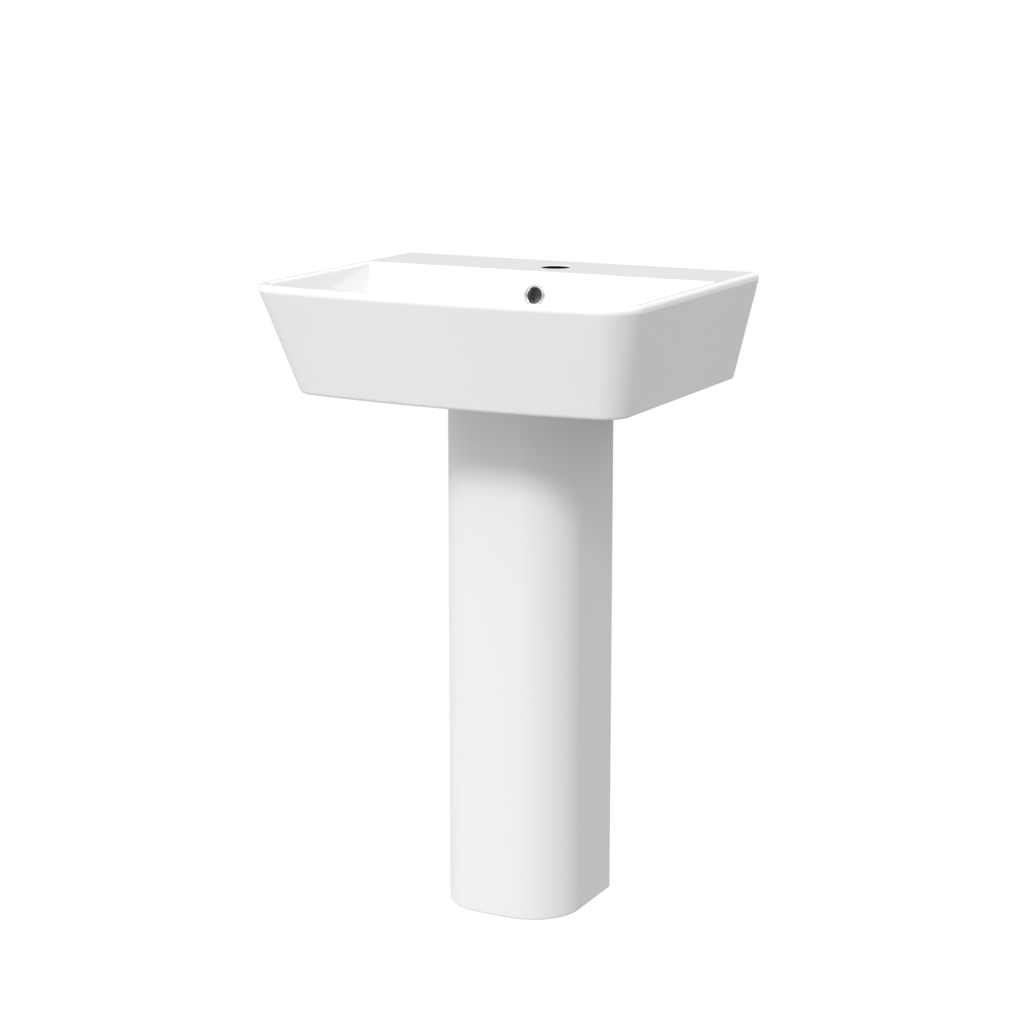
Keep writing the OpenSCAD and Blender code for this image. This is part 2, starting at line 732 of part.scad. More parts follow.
bolt_z = total_h - bolt_drop;
bolt_front = back_t + 30;
bush_flange_t = 2.5;
steel_washer_t = 2;
bolt_nut_h = bolt_d * 0.8;

// Along +Y, from a depth y behind (or in front of) the wall plane.
module at_bolts(y) from_wall() both_sides(bolt_gap) translate([0, y, bolt_z]) rotate([-90, 0, 0]) children();

module wall_bolts() color(steel) at_bolts(-bolt_front) {
    translate([0, 0, 1]) cylinder(d = bolt_d, h = bolt_front + bolt_in_wall - 8);
    cylinder(d1 = bolt_d - 2, d2 = bolt_d, h = 1.01);
    translate([0, 0, bolt_front + bolt_in_wall - 7.01]) cylinder(d1 = bolt_d, d2 = 2, h = 7);
}

module wall_plugs() color(nylon) at_bolts(2) tube(plug_sleeve_d / 2 - slip_gap / 2, bolt_d / 2 + 0.1, bolt_in_wall - 12);

module bolt_bushes() color(nylon) at_bolts(-back_t - bush_flange_t) difference() {
    union() {
        cylinder(r = bolt_d / 2 + 8, h = bush_flange_t);
        cylinder(r = plug_sleeve_d / 2 - slip_gap / 2, h = bush_flange_t + back_t - 1);
    }
    translate([0, 0, -over]) cylinder(r = bolt_d / 2 + 0.15, h = back_t + 6);
}

module bolt_washers() color(steel) at_bolts(-back_t - bush_flange_t - steel_washer_t)
    tube(bolt_d / 2 + 6, bolt_d / 2 + 0.3, steel_washer_t);

module bolt_nuts() color(steel) at_bolts(-back_t - bush_flange_t - steel_washer_t - bolt_nut_h) difference() {
    cylinder(d = bolt_d * 1.96, h = bolt_nut_h, $fn = 6);
    translate([0, 0, -over]) cylinder(r = bolt_d / 2 + 0.1, h = bolt_nut_h + 2 * over);
}

basin();
pedestal();
seating_pads();
foot_bushes();
overflow_ring();
waste_body();
flange_washer();
cone_washer();
backnut();
click_cartridge();
plug_spring();
plug_rod();
plug_cap();
plug_seal();
inlet_washer();
inlet_nut();
dip_tube();
top_seal();
top_nut();
trap_head();
bottle_ring();
trap_bottle();
outlet_seal();
outlet_nut();
outlet_pipe();
pipe_flange();
wall_bolts();
wall_plugs();
bolt_bushes();
bolt_washers();
bolt_nuts();
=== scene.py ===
"""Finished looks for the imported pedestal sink: glazed basin and pedestal, waste, trap and fixings."""

import json
import math

import bmesh
import bpy
import numpy as np
from mathutils import Matrix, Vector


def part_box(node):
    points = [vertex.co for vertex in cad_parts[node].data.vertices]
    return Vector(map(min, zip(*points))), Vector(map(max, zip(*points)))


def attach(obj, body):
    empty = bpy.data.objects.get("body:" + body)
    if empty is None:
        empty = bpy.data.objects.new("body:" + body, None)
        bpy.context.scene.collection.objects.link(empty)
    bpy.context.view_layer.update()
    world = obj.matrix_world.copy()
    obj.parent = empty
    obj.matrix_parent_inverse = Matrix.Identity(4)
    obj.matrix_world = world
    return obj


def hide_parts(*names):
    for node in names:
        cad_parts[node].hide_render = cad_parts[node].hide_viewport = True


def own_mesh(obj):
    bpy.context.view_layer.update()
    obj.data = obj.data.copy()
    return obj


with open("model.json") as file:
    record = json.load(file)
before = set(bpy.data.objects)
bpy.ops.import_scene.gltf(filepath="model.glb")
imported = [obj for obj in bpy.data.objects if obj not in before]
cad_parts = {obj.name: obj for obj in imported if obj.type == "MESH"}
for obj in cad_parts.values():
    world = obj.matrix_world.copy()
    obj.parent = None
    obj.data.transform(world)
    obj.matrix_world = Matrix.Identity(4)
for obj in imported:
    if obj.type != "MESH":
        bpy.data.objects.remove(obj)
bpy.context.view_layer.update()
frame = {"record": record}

bl_info = {
    "name": "Pedestal Sink Finish",
    "version": (1, 0, 0),
    "blender": (4, 5, 0),
    "location": "3D View > Sidebar > Sink",
    "description": "Builds the finished surfaces of a ceramic pedestal sink around its packed frame",
    "category": "Add Mesh",
}

MM = 0.001
RECORD = frame["record"]
BODY_OF = {node: body for body, nodes in RECORD["behaviour"]["bodies"].items() for node in nodes}
SLOT_OF = {part["node"]: part["material_slot"] for part in RECORD["subparts"]}
MOUNTS = {mount["name"]: mount for mount in RECORD["mounts"]}
TRAVEL = {joint["name"]: -joint["range_m"][0] for joint in RECORD["behaviour"]["joints"] if "range_m" in joint}

RIM_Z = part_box("basin")[1].z
WALL_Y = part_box("basin")[1].y
WASTE_Y = sum(corner.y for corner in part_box("waste_body")) / 2
OUTLET_Z = MOUNTS["waste_outlet"]["pos_m"][2]
WALL_PLUGS = [MOUNTS[f"wall_plug_{side}"] for side in ("left", "right")]


# ---------- sizes that a user would change ----------


def length(title, description, millimetres):
    return bpy.props.FloatProperty(
        name=title, description=description, default=millimetres * MM, min=0, unit="LENGTH", precision=4
    )


def slope(title, description, degrees):
    turn = math.radians(degrees)
    return bpy.props.FloatProperty(name=title, description=description, default=turn, unit="ROTATION")


def paint(title, description, colour):
    return bpy.props.FloatVectorProperty(
        name=title, description=description, default=colour, size=3, min=0, max=1, subtype="COLOR"
    )


def light(title, description, strength):
    return bpy.props.FloatProperty(name=title, description=description, default=strength, min=0)


class BasinSizes(bpy.types.PropertyGroup):
    """Sizes of the basin, before its edges are rounded."""

    width: length("Width", "Width across the rim", 520)
    depth: length("Depth", "From the wall to the middle of the front rim", 426)
    height: length("Height", "Height of the outer walls", 140)
    side_lean: length("Side lean", "How far each side leans in from rim to foot", 35)
    front_lean: length("Front lean", "How far the front leans in from rim to foot", 52)
    front_bow: length("Front bow", "How far the middle of the front stands ahead of its ends", 14)
    rim_corner: length("Rim corner", "Radius of the front corners at the rim", 44)
    foot_corner: length("Foot corner", "Radius of the front corners at the foot", 34)
    back_corner: length("Back corner", "Radius of the corners against the wall", 7)
    rim_width: length("Rim width", "Thickness of the rim around the bowl", 16)
    rim_edge: length("Rim rounding", "Rounding of the outer rim edge", 10)
    mouth_edge: length("Mouth rounding", "Rounding from the rim into the bowl", 4)
    foot_edge: length("Foot rounding", "Rounding of the bottom edge", 4)
    foot_lip: length("Foot lip", "Width of the lip around the hollow underside", 17)
    deck: length("Deck depth", "Depth of the flat deck behind the bowl", 124)
    deck_thickness: length("Deck thickness", "Thickness of the deck", 14)
    back_thickness: length("Back thickness", "Thickness of the panel against the wall", 12)
    bowl_depth: length("Bowl depth", "Depth of the bowl at the waste", 112)
    floor_thickness: length("Floor thickness", "Ceramic under the bowl", 12)
    floor_corner: length("Floor corner", "Corner radius of the bowl at its floor", 84)
    fillet: length("Fillet", "Rounding from the walls to the floor", 26)
    back_fillet: length("Back fillet", "Rounding from the back wall to the floor", 11)
    side_slope: slope("Side slope", "Lean of the bowl's sides", 16)
    front_slope: slope("Front slope", "Lean of the bowl's front", 20)
    back_slope: slope("Back slope", "Lean of the bowl's back", 10)
    floor_fall: slope("Floor fall", "Fall of the floor towards the waste", 2)
    waste_hole: length("Waste hole", "Diameter of the hole for the waste", 46)
    boss_height: length("Boss height", "Height of the boss around the waste", 56)
    overflow: length("Overflow", "Diameter of the overflow hole", 24)
    overflow_drop: length("Overflow drop", "Overflow centre below the rim", 30)
    tap_edge: length("Tap hole rounding", "Glazed rounding at the top of the tap hole", 1)


class PedestalSizes(bpy.types.PropertyGroup):
    """Sizes of the pedestal."""

    front_corner: length("Front corner", "Radius of the front corners", 66)
    back_corner: length("Back edge", "Rounding of the two back edges", 3)
    bow: length("Front bow", "How far the middle of the front stands ahead of its ends", 2)
    thickness: length("Thickness", "Thickness of the wall", 11)
    foot_edge: length("Foot rounding", "Rounding of the bottom edge", 2.5)
    lug_height: length("Lug height", "Thickness of the foot lugs", 12)


class FittingSizes(bpy.types.PropertyGroup):
    """Sizes of the waste, trap and fixings that their outlines don't give."""

    thread: length("Waste thread", "Outside diameter of the waste's thread", 41.9)
    thread_pitch: length("Waste thread pitch", "Distance between the threads of the waste", 2.31)
    trap_pitch: length("Trap thread pitch", "Distance between the threads of the trap", 4)
    bolt_pitch: length("Bolt thread pitch", "Distance between the threads of the wall bolts", 1.5)
    pipe: length("Pipe", "Outside diameter of the waste pipes", 32)
    pipe_wall: length("Pipe wall", "Wall of the plastic pipes", 1.8)
    thread_gap: length("Thread gap", "Radial gap of a screwed joint", 0.2)
    slip_gap: length("Slip gap", "Radial gap around a pushed-in pipe", 0.3)


class FinishColours(bpy.types.PropertyGroup):
    """Colours of the finishes."""

    glaze: paint("Glaze", "White glaze", (0.905, 0.905, 0.9))
    bisque: paint("Bisque", "Fired clay without glaze", (0.78, 0.755, 0.7))
    # Painted shade: near black colour on the tap hole's wall, standing in for the shade inside the hole.
    bore: paint("Bore", "Dark unlit finish inside the tap hole", (0.004, 0.004, 0.004))
    # Painted shade: dark grey colour on the glaze inside the overflow, standing in for the shade in the duct.
    duct: paint("Duct", "Dark unlit glaze inside the overflow", (0.28, 0.28, 0.285))
    chrome: paint("Chrome", "Polished chrome plate", (0.82, 0.83, 0.845))
    steel: paint("Steel", "Zinc-plated steel", (0.6, 0.61, 0.63))
    plastic: paint("Plastic", "White polypropylene", (0.84, 0.84, 0.83))
    nylon: paint("Nylon", "Natural nylon", (0.78, 0.765, 0.7))
    rubber: paint("Rubber", "Black rubber", (0.024, 0.024, 0.026))


# ---------- shader maths ----------


class Value:
    """One node output that can be added, subtracted, multiplied and divided like a number."""

    def __init__(self, finish, socket):
        self.finish, self.socket = finish, socket

    def maths(self, operation, *terms):
        return self.finish.node("ShaderNodeMath", {"operation": operation}, terms)

    def __add__(self, other):
        return self.maths("ADD", self, other)

    def __sub__(self, other):
        return self.maths("SUBTRACT", self, other)

    def __rsub__(self, other):
        return self.maths("SUBTRACT", other, self)

    def __mul__(self, other):
        return self.maths("MULTIPLY", self, other)

    __radd__ = __add__
    __rmul__ = __mul__


class Nodes:
    """A node tree whose nodes are made from expressions."""

    def __init__(self, tree):
        self.tree = tree

    def node(self, kind, settings=(), sockets=(), output=0):
        """Makes a node, then its settings, then the values or links of its sockets."""
        made = self.tree.nodes.new(kind)
        for key, value in dict(settings).items():
            setattr(made, key, value)
        named = sockets.items() if isinstance(sockets, dict) else enumerate(sockets)
        for key, value in named:
            self.feed(made.inputs[key], value)
        return Value(self, made.outputs[output])

    def feed(self, socket, value):
        if isinstance(value, Value):
            self.tree.links.new(value.socket, socket)
        elif isinstance(value, (int, float)) or len(value) == len(socket.default_value):
            socket.default_value = value
        else:
            socket.default_value = (*value, 1)

    def band(self, value, low, high):
        """0 below low and 1 above high."""
        return self.node("ShaderNodeMapRange", sockets={"Value": value, "From Min": low, "From Max": high})

    def peak(self, value, middle, width):
        """1 at the middle, falling smoothly to 0 at width from it."""
        away = self.node("ShaderNodeMath", {"operation": "ABSOLUTE"}, (value - middle,))
        settings = {"interpolation_type": "SMOOTHSTEP"}
        sockets = {"Value": away, "From Min": 0.3 * width, "From Max": width, "To Min": 1.0, "To Max": 0.0}
        return self.node("ShaderNodeMapRange", settings, sockets)


class Finish(Nodes):
    """A material on top of one Principled shader."""

    def __init__(self, name):
        self.material = bpy.data.materials.new(name)
        self.material.use_nodes = True
        super().__init__(self.material.node_tree)
        self.shader = self.tree.nodes["Principled BSDF"]
        self.position = self.node("ShaderNodeTexCoord", output="Object")

    def set(self, **sockets):
        for title, value in sockets.items():
            self.feed(self.shader.inputs[title.replace("_", " ")], value)
        return self.material

    def noise(self, scale, detail=2.0, roughness=0.5, position=None):
        sockets = {"Vector": position or self.position, "Scale": scale, "Detail": detail, "Roughness": roughness}
        return self.node("ShaderNodeTexNoise", sockets=sockets)

    def stretched(self, x, y, z):
        """The position with its axes scaled, for grain that runs one way."""
        return self.node("ShaderNodeVectorMath", {"operation": "MULTIPLY"}, (self.position, (x, y, z)))

    def between(self, amount, start, end):
        """A colour between two, by amount."""
        return self.node("ShaderNodeMix", {"data_type": "RGBA"}, {0: amount, 6: start, 7: end}, output=2)

    def bump(self, height, distance, below=None):
        sockets = {"Height": height, "Distance": distance, "Strength": 1.0}
        if below:
            sockets["Normal"] = below
        return self.node("ShaderNodeBump", sockets=sockets)


def shaded(colour, factor):
    return tuple(channel * factor for channel in colour)


def glaze_finish(colours):
    """Fired white glaze: almost mirror smooth, with slow waves and the faint dimples of orange peel."""
    finish = Finish("white_glaze")
    drift = finish.noise(5.0, 3.0)
    waves = finish.bump(finish.noise(14.0, 1.0), 0.00035)
    peel = finish.bump(finish.noise(420.0, 1.0), 0.000006, waves)
    return finish.set(
        Base_Color=finish.between(drift, shaded(colours.glaze, 0.985), colours.glaze),
        Roughness=0.055 + 0.05 * finish.noise(38.0, 4.0),
        IOR=1.52,
        Normal=peel,
        Coat_Weight=0.35,
        Coat_Roughness=0.03,
    )


def bisque_finish(colours):
    """Fired clay with no glaze, as on the faces that stand on something or meet the wall."""
    finish = Finish("bare_bisque")
    grain = finish.noise(900.0, 3.0, 0.7)
    blotches = finish.noise(22.0, 4.0)
    return finish.set(
        Base_Color=finish.between(blotches, shaded(colours.bisque, 0.9), colours.bisque),
        Roughness=0.82 + 0.1 * grain,
        Normal=finish.bump(grain + 0.6 * finish.noise(90.0, 3.0), 0.00025),
    )


def painted_shade_finish(name, colour):
    """Painted shade: a dark colour for the inside of a drilled hole or duct, standing in for the shade where no light
    reaches.
    """
    finish = Finish(name)
    grain = finish.noise(700.0, 3.0)
    return finish.set(
        Base_Color=finish.between(grain, colour, shaded(colour, 1.6)),
        Roughness=0.9 + 0.08 * grain,
        Specular_IOR_Level=0.05,
        Normal=finish.bump(grain, 0.0001),
    )


def chrome_finish(colours):
    """Bright chrome plate with faint wiping marks and water haze."""
    finish = Finish("bright_chrome")
    haze = finish.band(finish.noise(60.0, 5.0, 0.65), 0.45, 0.8)
    wipes = finish.noise(120.0, 2.0, position=finish.stretched(1, 9, 1))
    return finish.set(
        Base_Color=finish.between(haze, colours.chrome, shaded(colours.chrome, 0.93)),
        Metallic=1.0,
        Roughness=0.045 + 0.05 * haze + 0.03 * wipes,
        Normal=finish.bump(wipes, 0.000004),
    )


def steel_finish(colours):
    """Zinc plate over turned steel: soft streaks and cloudy passivation."""
    finish = Finish("zinc_plated_steel")
    streaks = finish.noise(260.0, 3.0, position=finish.stretched(1, 1, 12))
    clouds = finish.noise(85.0, 5.0, 0.6)
    tint = (colours.steel[0] * 1.05, colours.steel[1] * 1.02, colours.steel[2] * 0.93)
    return finish.set(
        Base_Color=finish.between(clouds, colours.steel, tint),
        Metallic=1.0,
        Roughness=0.24 + 0.16 * clouds + 0.1 * streaks,
        Normal=finish.bump(streaks, 0.00001),
    )


def plastic_finish(colours):
    """Moulded polypropylene: satin skin with spark-eroded grain and slow sink marks."""
    finish = Finish("white_polypropylene")
    grain = finish.noise(1500.0, 2.0, 0.6)
    sink_marks = finish.bump(finish.noise(32.0, 1.0), 0.00012)
    scuffs = finish.band(finish.noise(150.0, 6.0, 0.7), 0.58, 0.75)
    return finish.set(
        Base_Color=finish.between(scuffs, colours.plastic, shaded(colours.plastic, 0.93)),
        Roughness=0.34 + 0.08 * grain + 0.14 * scuffs,
        IOR=1.49,
        Normal=finish.bump(grain, 0.00003, sink_marks),
    )


def nylon_finish(colours):
    """Natural nylon: slightly yellow, waxy and softly mottled."""
    finish = Finish("natural_nylon")
    mottle = finish.noise(130.0, 4.0)
    return finish.set(
        Base_Color=finish.between(mottle, shaded(colours.nylon, 0.92), colours.nylon),
        Roughness=0.42 + 0.12 * mottle,
        Normal=finish.bump(finish.noise(1100.0, 2.0), 0.00003),
        Subsurface_Weight=0.15,
        Subsurface_Scale=0.002,
    )


def rubber_finish(colours):
    """Black rubber: matt, with bloom in patches and a fine moulded grain."""
    finish = Finish("black_rubber")
    bloom = finish.band(finish.noise(70.0, 5.0, 0.65), 0.5, 0.8)
    grain = finish.noise(1300.0, 3.0, 0.6)
    return finish.set(
        Base_Color=finish.between(bloom, colours.rubber, (0.07, 0.07, 0.072)),
        Roughness=0.62 + 0.2 * bloom + 0.1 * grain,
        Normal=finish.bump(grain, 0.00005),
    )


FINISHES = {
    "ceramic": glaze_finish,
    "bisque": bisque_finish,
    # bore and duct are dark painted shade for the insides of the tap hole and the overflow.
    "bore": lambda colours: painted_shade_finish("painted_shade_bore", colours.bore),
    "duct": lambda colours: painted_shade_finish("painted_shade_duct", colours.duct),
    "chrome": chrome_finish,
    "steel": steel_finish,
    "plastic": plastic_finish,
    "nylon": nylon_finish,
    "rubber": rubber_finish,
}
_made = {}


def finish_named(name):
    if name not in _made:
        _made[name] = FINISHES[name](bpy.context.scene.sink_colours)
    return _made[name]


# ---------- mesh work ----------


def lerp(a, b, t):
    return a + (b - a) * t


def steps(count):
    """0 to 1 in count equal steps, without the 0."""
    return np.arange(1, count + 1) / count


def sharpen(mesh, degrees):
    """Smooth shading, with edges sharper than this left crisp."""
    work = bmesh.new()
    work.from_mesh(mesh)
    bmesh.ops.recalc_face_normals(work, faces=work.faces)
    limit = math.radians(degrees)
    for edge in work.edges:
        edge.smooth = len(edge.link_faces) != 2 or edge.calc_face_angle(0) < limit
    for face in work.faces:
        face.smooth = True
    work.to_mesh(mesh)
    work.free()


def placed(name, data):
    """A new object in the scene."""
    made = bpy.data.objects.new(name, data)
    bpy.context.scene.collection.objects.link(made)
    return made


def solid(name, points, faces):
    """A bare mesh object in the frame's axes."""
    mesh = bpy.data.meshes.new(name)
    mesh.from_pydata([tuple(p) for p in points], [], faces)
    mesh.validate()
    made = placed(name, mesh)
    work = bmesh.new()
    work.from_mesh(mesh)
    bmesh.ops.recalc_face_normals(work, faces=work.faces)
    work.to_mesh(mesh)
    work.free()
    return made


def bake_modifiers(obj):
    """Turns the object's modifiers into its mesh."""
    bpy.context.view_layer.update()
    shown = obj.evaluated_get(bpy.context.evaluated_depsgraph_get())
    mesh = bpy.data.meshes.new_from_object(shown)
    obj.modifiers.clear()
    old, obj.data = obj.data, mesh
    bpy.data.meshes.remove(old)


def carve(obj, tool, operation="DIFFERENCE"):
    """Cuts tool out of obj, or joins it on, and removes the tool. The new faces keep the tool's finish."""
    work = obj.modifiers.new(operation.title(), "BOOLEAN")
    work.operation, work.solver, work.object = operation, "EXACT", tool
    work.material_mode = "TRANSFER"
    bake_modifiers(obj)
    bpy.data.objects.remove(tool)


def join(obj, tool):
    carve(obj, tool, "UNION")


def coated(obj, *names, choose=None):
    """Gives a mesh its finishes. choose picks one of them for each face."""
    for name in names:
        obj.data.materials.append(finish_named(name))
    if choose:
        for face in obj.data.polygons:
            face.material_index = names.index(choose(face))
    return obj


def dress(obj, *nodes, finish=None, crease=38):
    """Gives a piece its finish and shading, and lets it stand for CAD nodes on their body."""
    slot = SLOT_OF[nodes[0]]
    if not obj.data.materials:
        obj.data.materials.append(finish_named(finish or slot))
    sharpen(obj.data, crease)
    even = obj.modifiers.new("Even shading", "WEIGHTED_NORMAL")
    even.keep_sharp, even.weight = True, 50
    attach(obj, BODY_OF[nodes[0]])
    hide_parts(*nodes)
    return obj


def skin_faces(rings, count, loop=False):
    """Quads between neighbouring rings of count points."""
    faces = []
    for i in range(rings if loop else rings - 1):
        low, high = i * count, (i + 1) % rings * count
        faces += [(low + j, low + (j + 1) % count, high + (j + 1) % count, high + j) for j in range(count)]
    return faces


def loft(name, rings, loop=False):
    """A skin through rings of equally many points, closed by caps or by joining the last ring to the first."""
    count, points = len(rings[0]), np.concatenate(rings)
    faces = skin_faces(len(rings), count, loop)
    if not loop:
        faces += [tuple(range(count)), tuple(range(len(points) - count, len(points)))]
    return solid(name, points, faces)


def lift(flat, z):
    return np.column_stack([flat, np.full(len(flat), z)])


def arc(x, y, radius, start, end, count):
    """Points of an arc without its first one, angles in radians."""
    angle = lerp(start, end, steps(count))
    return np.column_stack([x + radius * np.cos(angle), y + radius * np.sin(angle)])


def line(start, end, count):
    """Points along a straight line without its first one."""
    return np.outer(1 - steps(count), start) + np.outer(steps(count), end)


def rounding(count):
    """Pairs along a quarter round, in shares of its radius: one grows from 0 to 1 while the other falls to 0."""
    return [(1 - math.cos(a), 1 - math.sin(a)) for a in np.linspace(0, math.pi / 2, count + 1)]


def softened(profile, radius, cuts=3):
    """A profile with its corners rounded. It is closed unless both its ends are on the axis."""
    corners = [np.array(p, float) for p in profile]
    whole = corners[0][0] > 0 or corners[-1][0] > 0
    found = []
    for i, corner in enumerate(corners):
        if not whole and i in (0, len(corners) - 1):
            found.append(corner)
            continue
        back, ahead = corners[i - 1] - corner, corners[(i + 1) % len(corners)] - corner
        reach_back, reach_ahead = np.linalg.norm(back), np.linalg.norm(ahead)
        cosine = np.clip(back @ ahead / (reach_back * reach_ahead), -1, 1)
        if cosine < -0.98:
            found.append(corner)
            continue
        cut = min(radius / math.tan(math.acos(cosine) / 2), 0.45 * reach_back, 0.45 * reach_ahead)
        start, end = corner + back / reach_back * cut, corner + ahead / reach_ahead * cut
        for t in np.linspace(0, 1, cuts + 1):
            found.append((1 - t) ** 2 * start + 2 * t * (1 - t) * corner + t**2 * end)
    return np.array(found)


def divided(profile, longest, whole):
    """A profile whose lines are no longer than longest."""
    found = []
    for i, start in enumerate(profile):
        found.append(start)
        if i == len(profile) - 1 and not whole:
            break
        end = profile[(i + 1) % len(profile)]
        cuts = int(np.linalg.norm(end - start) / longest)
        found += [lerp(start, end, k / (cuts + 1)) for k in range(1, cuts + 1)]
    return np.array(found)


def turned(name, profile, sides=96, soft=0.4 * MM, longest=None, shape=None):
    """A turned piece about +Z from (radius, height) points. shape may change the radius by height and angle."""
    whole = profile[0][0] > 0 or profile[-1][0] > 0
    path = softened(profile, soft)
    if longest:
        path = divided(path, longest, whole)
    wall = path if whole else path[1:-1]
    angle = np.arange(sides) * 2 * math.pi / sides
    radius, turn = np.meshgrid(wall[:, 0], angle, indexing="ij")
    height = np.meshgrid(wall[:, 1], angle, indexing="ij")[0]
    if shape:
        radius = shape(radius, height, turn)
    rings = list(np.stack([radius * np.cos(turn), radius * np.sin(turn), height], axis=2))
    if whole:
        return loft(name, rings, loop=True)
    poles = np.array([(0, 0, path[0][1]), (0, 0, path[-1][1])])
    points = np.concatenate([*rings, poles])
    last = (len(rings) - 1) * sides
    fans = [
        (len(points) - 2 + end, first + j, first + (j + 1) % sides)
        for end, first in ((0, 0), (1, last))
        for j in range(sides)
    ]
    return solid(name, points, [*skin_faces(len(rings), sides), *fans])


def rod(name, radius, low, high, sides=64, soft=0):
    """A plain cylinder about +Z."""
    return turned(name, [(0, low), (radius, low), (radius, high), (0, high)], sides, soft=soft)


def moved(obj, x=0.0, y=0.0, z=0.0, turn=None):
    """Moves the mesh itself, so that the object stays at the frame's origin."""
    if turn is not None:
        obj.data.transform(turn)
    obj.data.transform(Matrix.Translation((x, y, z)))
    return obj


def merged(name, objects):
    """Several solids as one piece."""
    work = bmesh.new()
    for obj in objects:
        work.from_mesh(obj.data)
        bpy.data.objects.remove(obj)
    mesh = bpy.data.meshes.new(name)
    work.to_mesh(mesh)
    work.free()
    return placed(name, mesh)


WALL_BAND = 0.05 * MM  # how near a thread's wall a point lies to be cut
GRIP_BAND = 0.3 * MM  # how near a grip's wall a point lies to be raised


def thread(low, high, pitch, depth, radius, bore=False):
    """A helical thread cut into a turned piece's wall at this radius, fading out at both ends."""

    def shape(r, z, turn):
        phase = (z / pitch - turn / (2 * math.pi)) % 1
        crest = np.clip((1 - np.abs(2 * phase - 1)) * 1.5 - 0.25, 0, 1)
        fade = np.clip(np.minimum(z - low, high - z) / pitch, 0, 1)
        on_wall = np.abs(r - radius) < WALL_BAND
        cut = on_wall * fade * depth * (1 - crest)
        return r + cut if bore else r - cut

    return shape


def ribs(count, height, radius, low, high):
    """Rounded grip ribs around a nut or bottle."""

    def shape(r, z, turn):
        wave = np.cos(turn * count) * 0.5 + 0.5
        fade = np.clip(np.minimum(z - low, high - z) / MM, 0, 1)
        return r + (np.abs(r - radius) < GRIP_BAND) * fade * height * wave**1.5

    return shape


def flats(count, across_corners):
    """Flat sides of a nut: the radius is held inside a regular polygon."""

    def shape(r, z, turn):
        part = 2 * math.pi / count
        inside = across_corners * math.cos(part / 2) / np.cos(turn % part - part / 2)
        return np.minimum(r, inside)

    return shape


def both(first, second):
    return lambda r, z, turn: second(first(r, z, turn), z, turn)


SIDEWAYS = Matrix.Rotation(-math.pi / 2, 4, "X")


def reach(node):
    """Low and high height of a CAD node, and its radius across X."""
    low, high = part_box(node)
    return low.z, high.z, (high.x - low.x) / 2


def upright(name, node, profile, sides=96, crease=38, **look):
    """A turned piece on the waste's axis that stands for a CAD node."""
    return dress(moved(turned(name, profile, sides, **look), y=WASTE_Y), node, crease=crease)


# ---------- basin ----------

FRONT_POINTS = 72
CORNER_POINTS = 22
SIDE_POINTS = 20
BACK_POINTS = 56
EDGE_POINTS = 8


def front_end(half, front, corner, bow):
    """Where a bowed front meets its corner: the slope there, the X there and the Y of the corner's centre."""
    lean = math.atan(2 * bow / (half - corner))
    return lean, half - corner + corner * math.sin(lean), front + bow + corner * math.cos(lean)


def plan(half, front, back, corner, back_corner, bow):
    """A rectangle in plan with a bowed front and four rounded corners, anticlockwise."""
    lean, end_x, centre_y = front_end(half, front, corner, bow)
    x = np.linspace(-end_x, end_x, FRONT_POINTS + 1)
    quarter = math.pi / 2
    return np.concatenate(
        [
            np.column_stack([x, front + bow * (x / end_x) ** 2]),
            arc(half - corner, centre_y, corner, lean - quarter, 0, CORNER_POINTS),
            line((half, centre_y), (half, back - back_corner), SIDE_POINTS),
            arc(half - back_corner, back - back_corner, back_corner, 0, quarter, EDGE_POINTS),
            line((half - back_corner, back), (back_corner - half, back), BACK_POINTS),
            arc(back_corner - half, back - back_corner, back_corner, quarter, 2 * quarter, EDGE_POINTS),
            line((-half, back - back_corner), (-half, centre_y), SIDE_POINTS),
            arc(corner - half, centre_y, corner, 2 * quarter, 3 * quarter - lean, CORNER_POINTS)[:-1],
        ]
    )


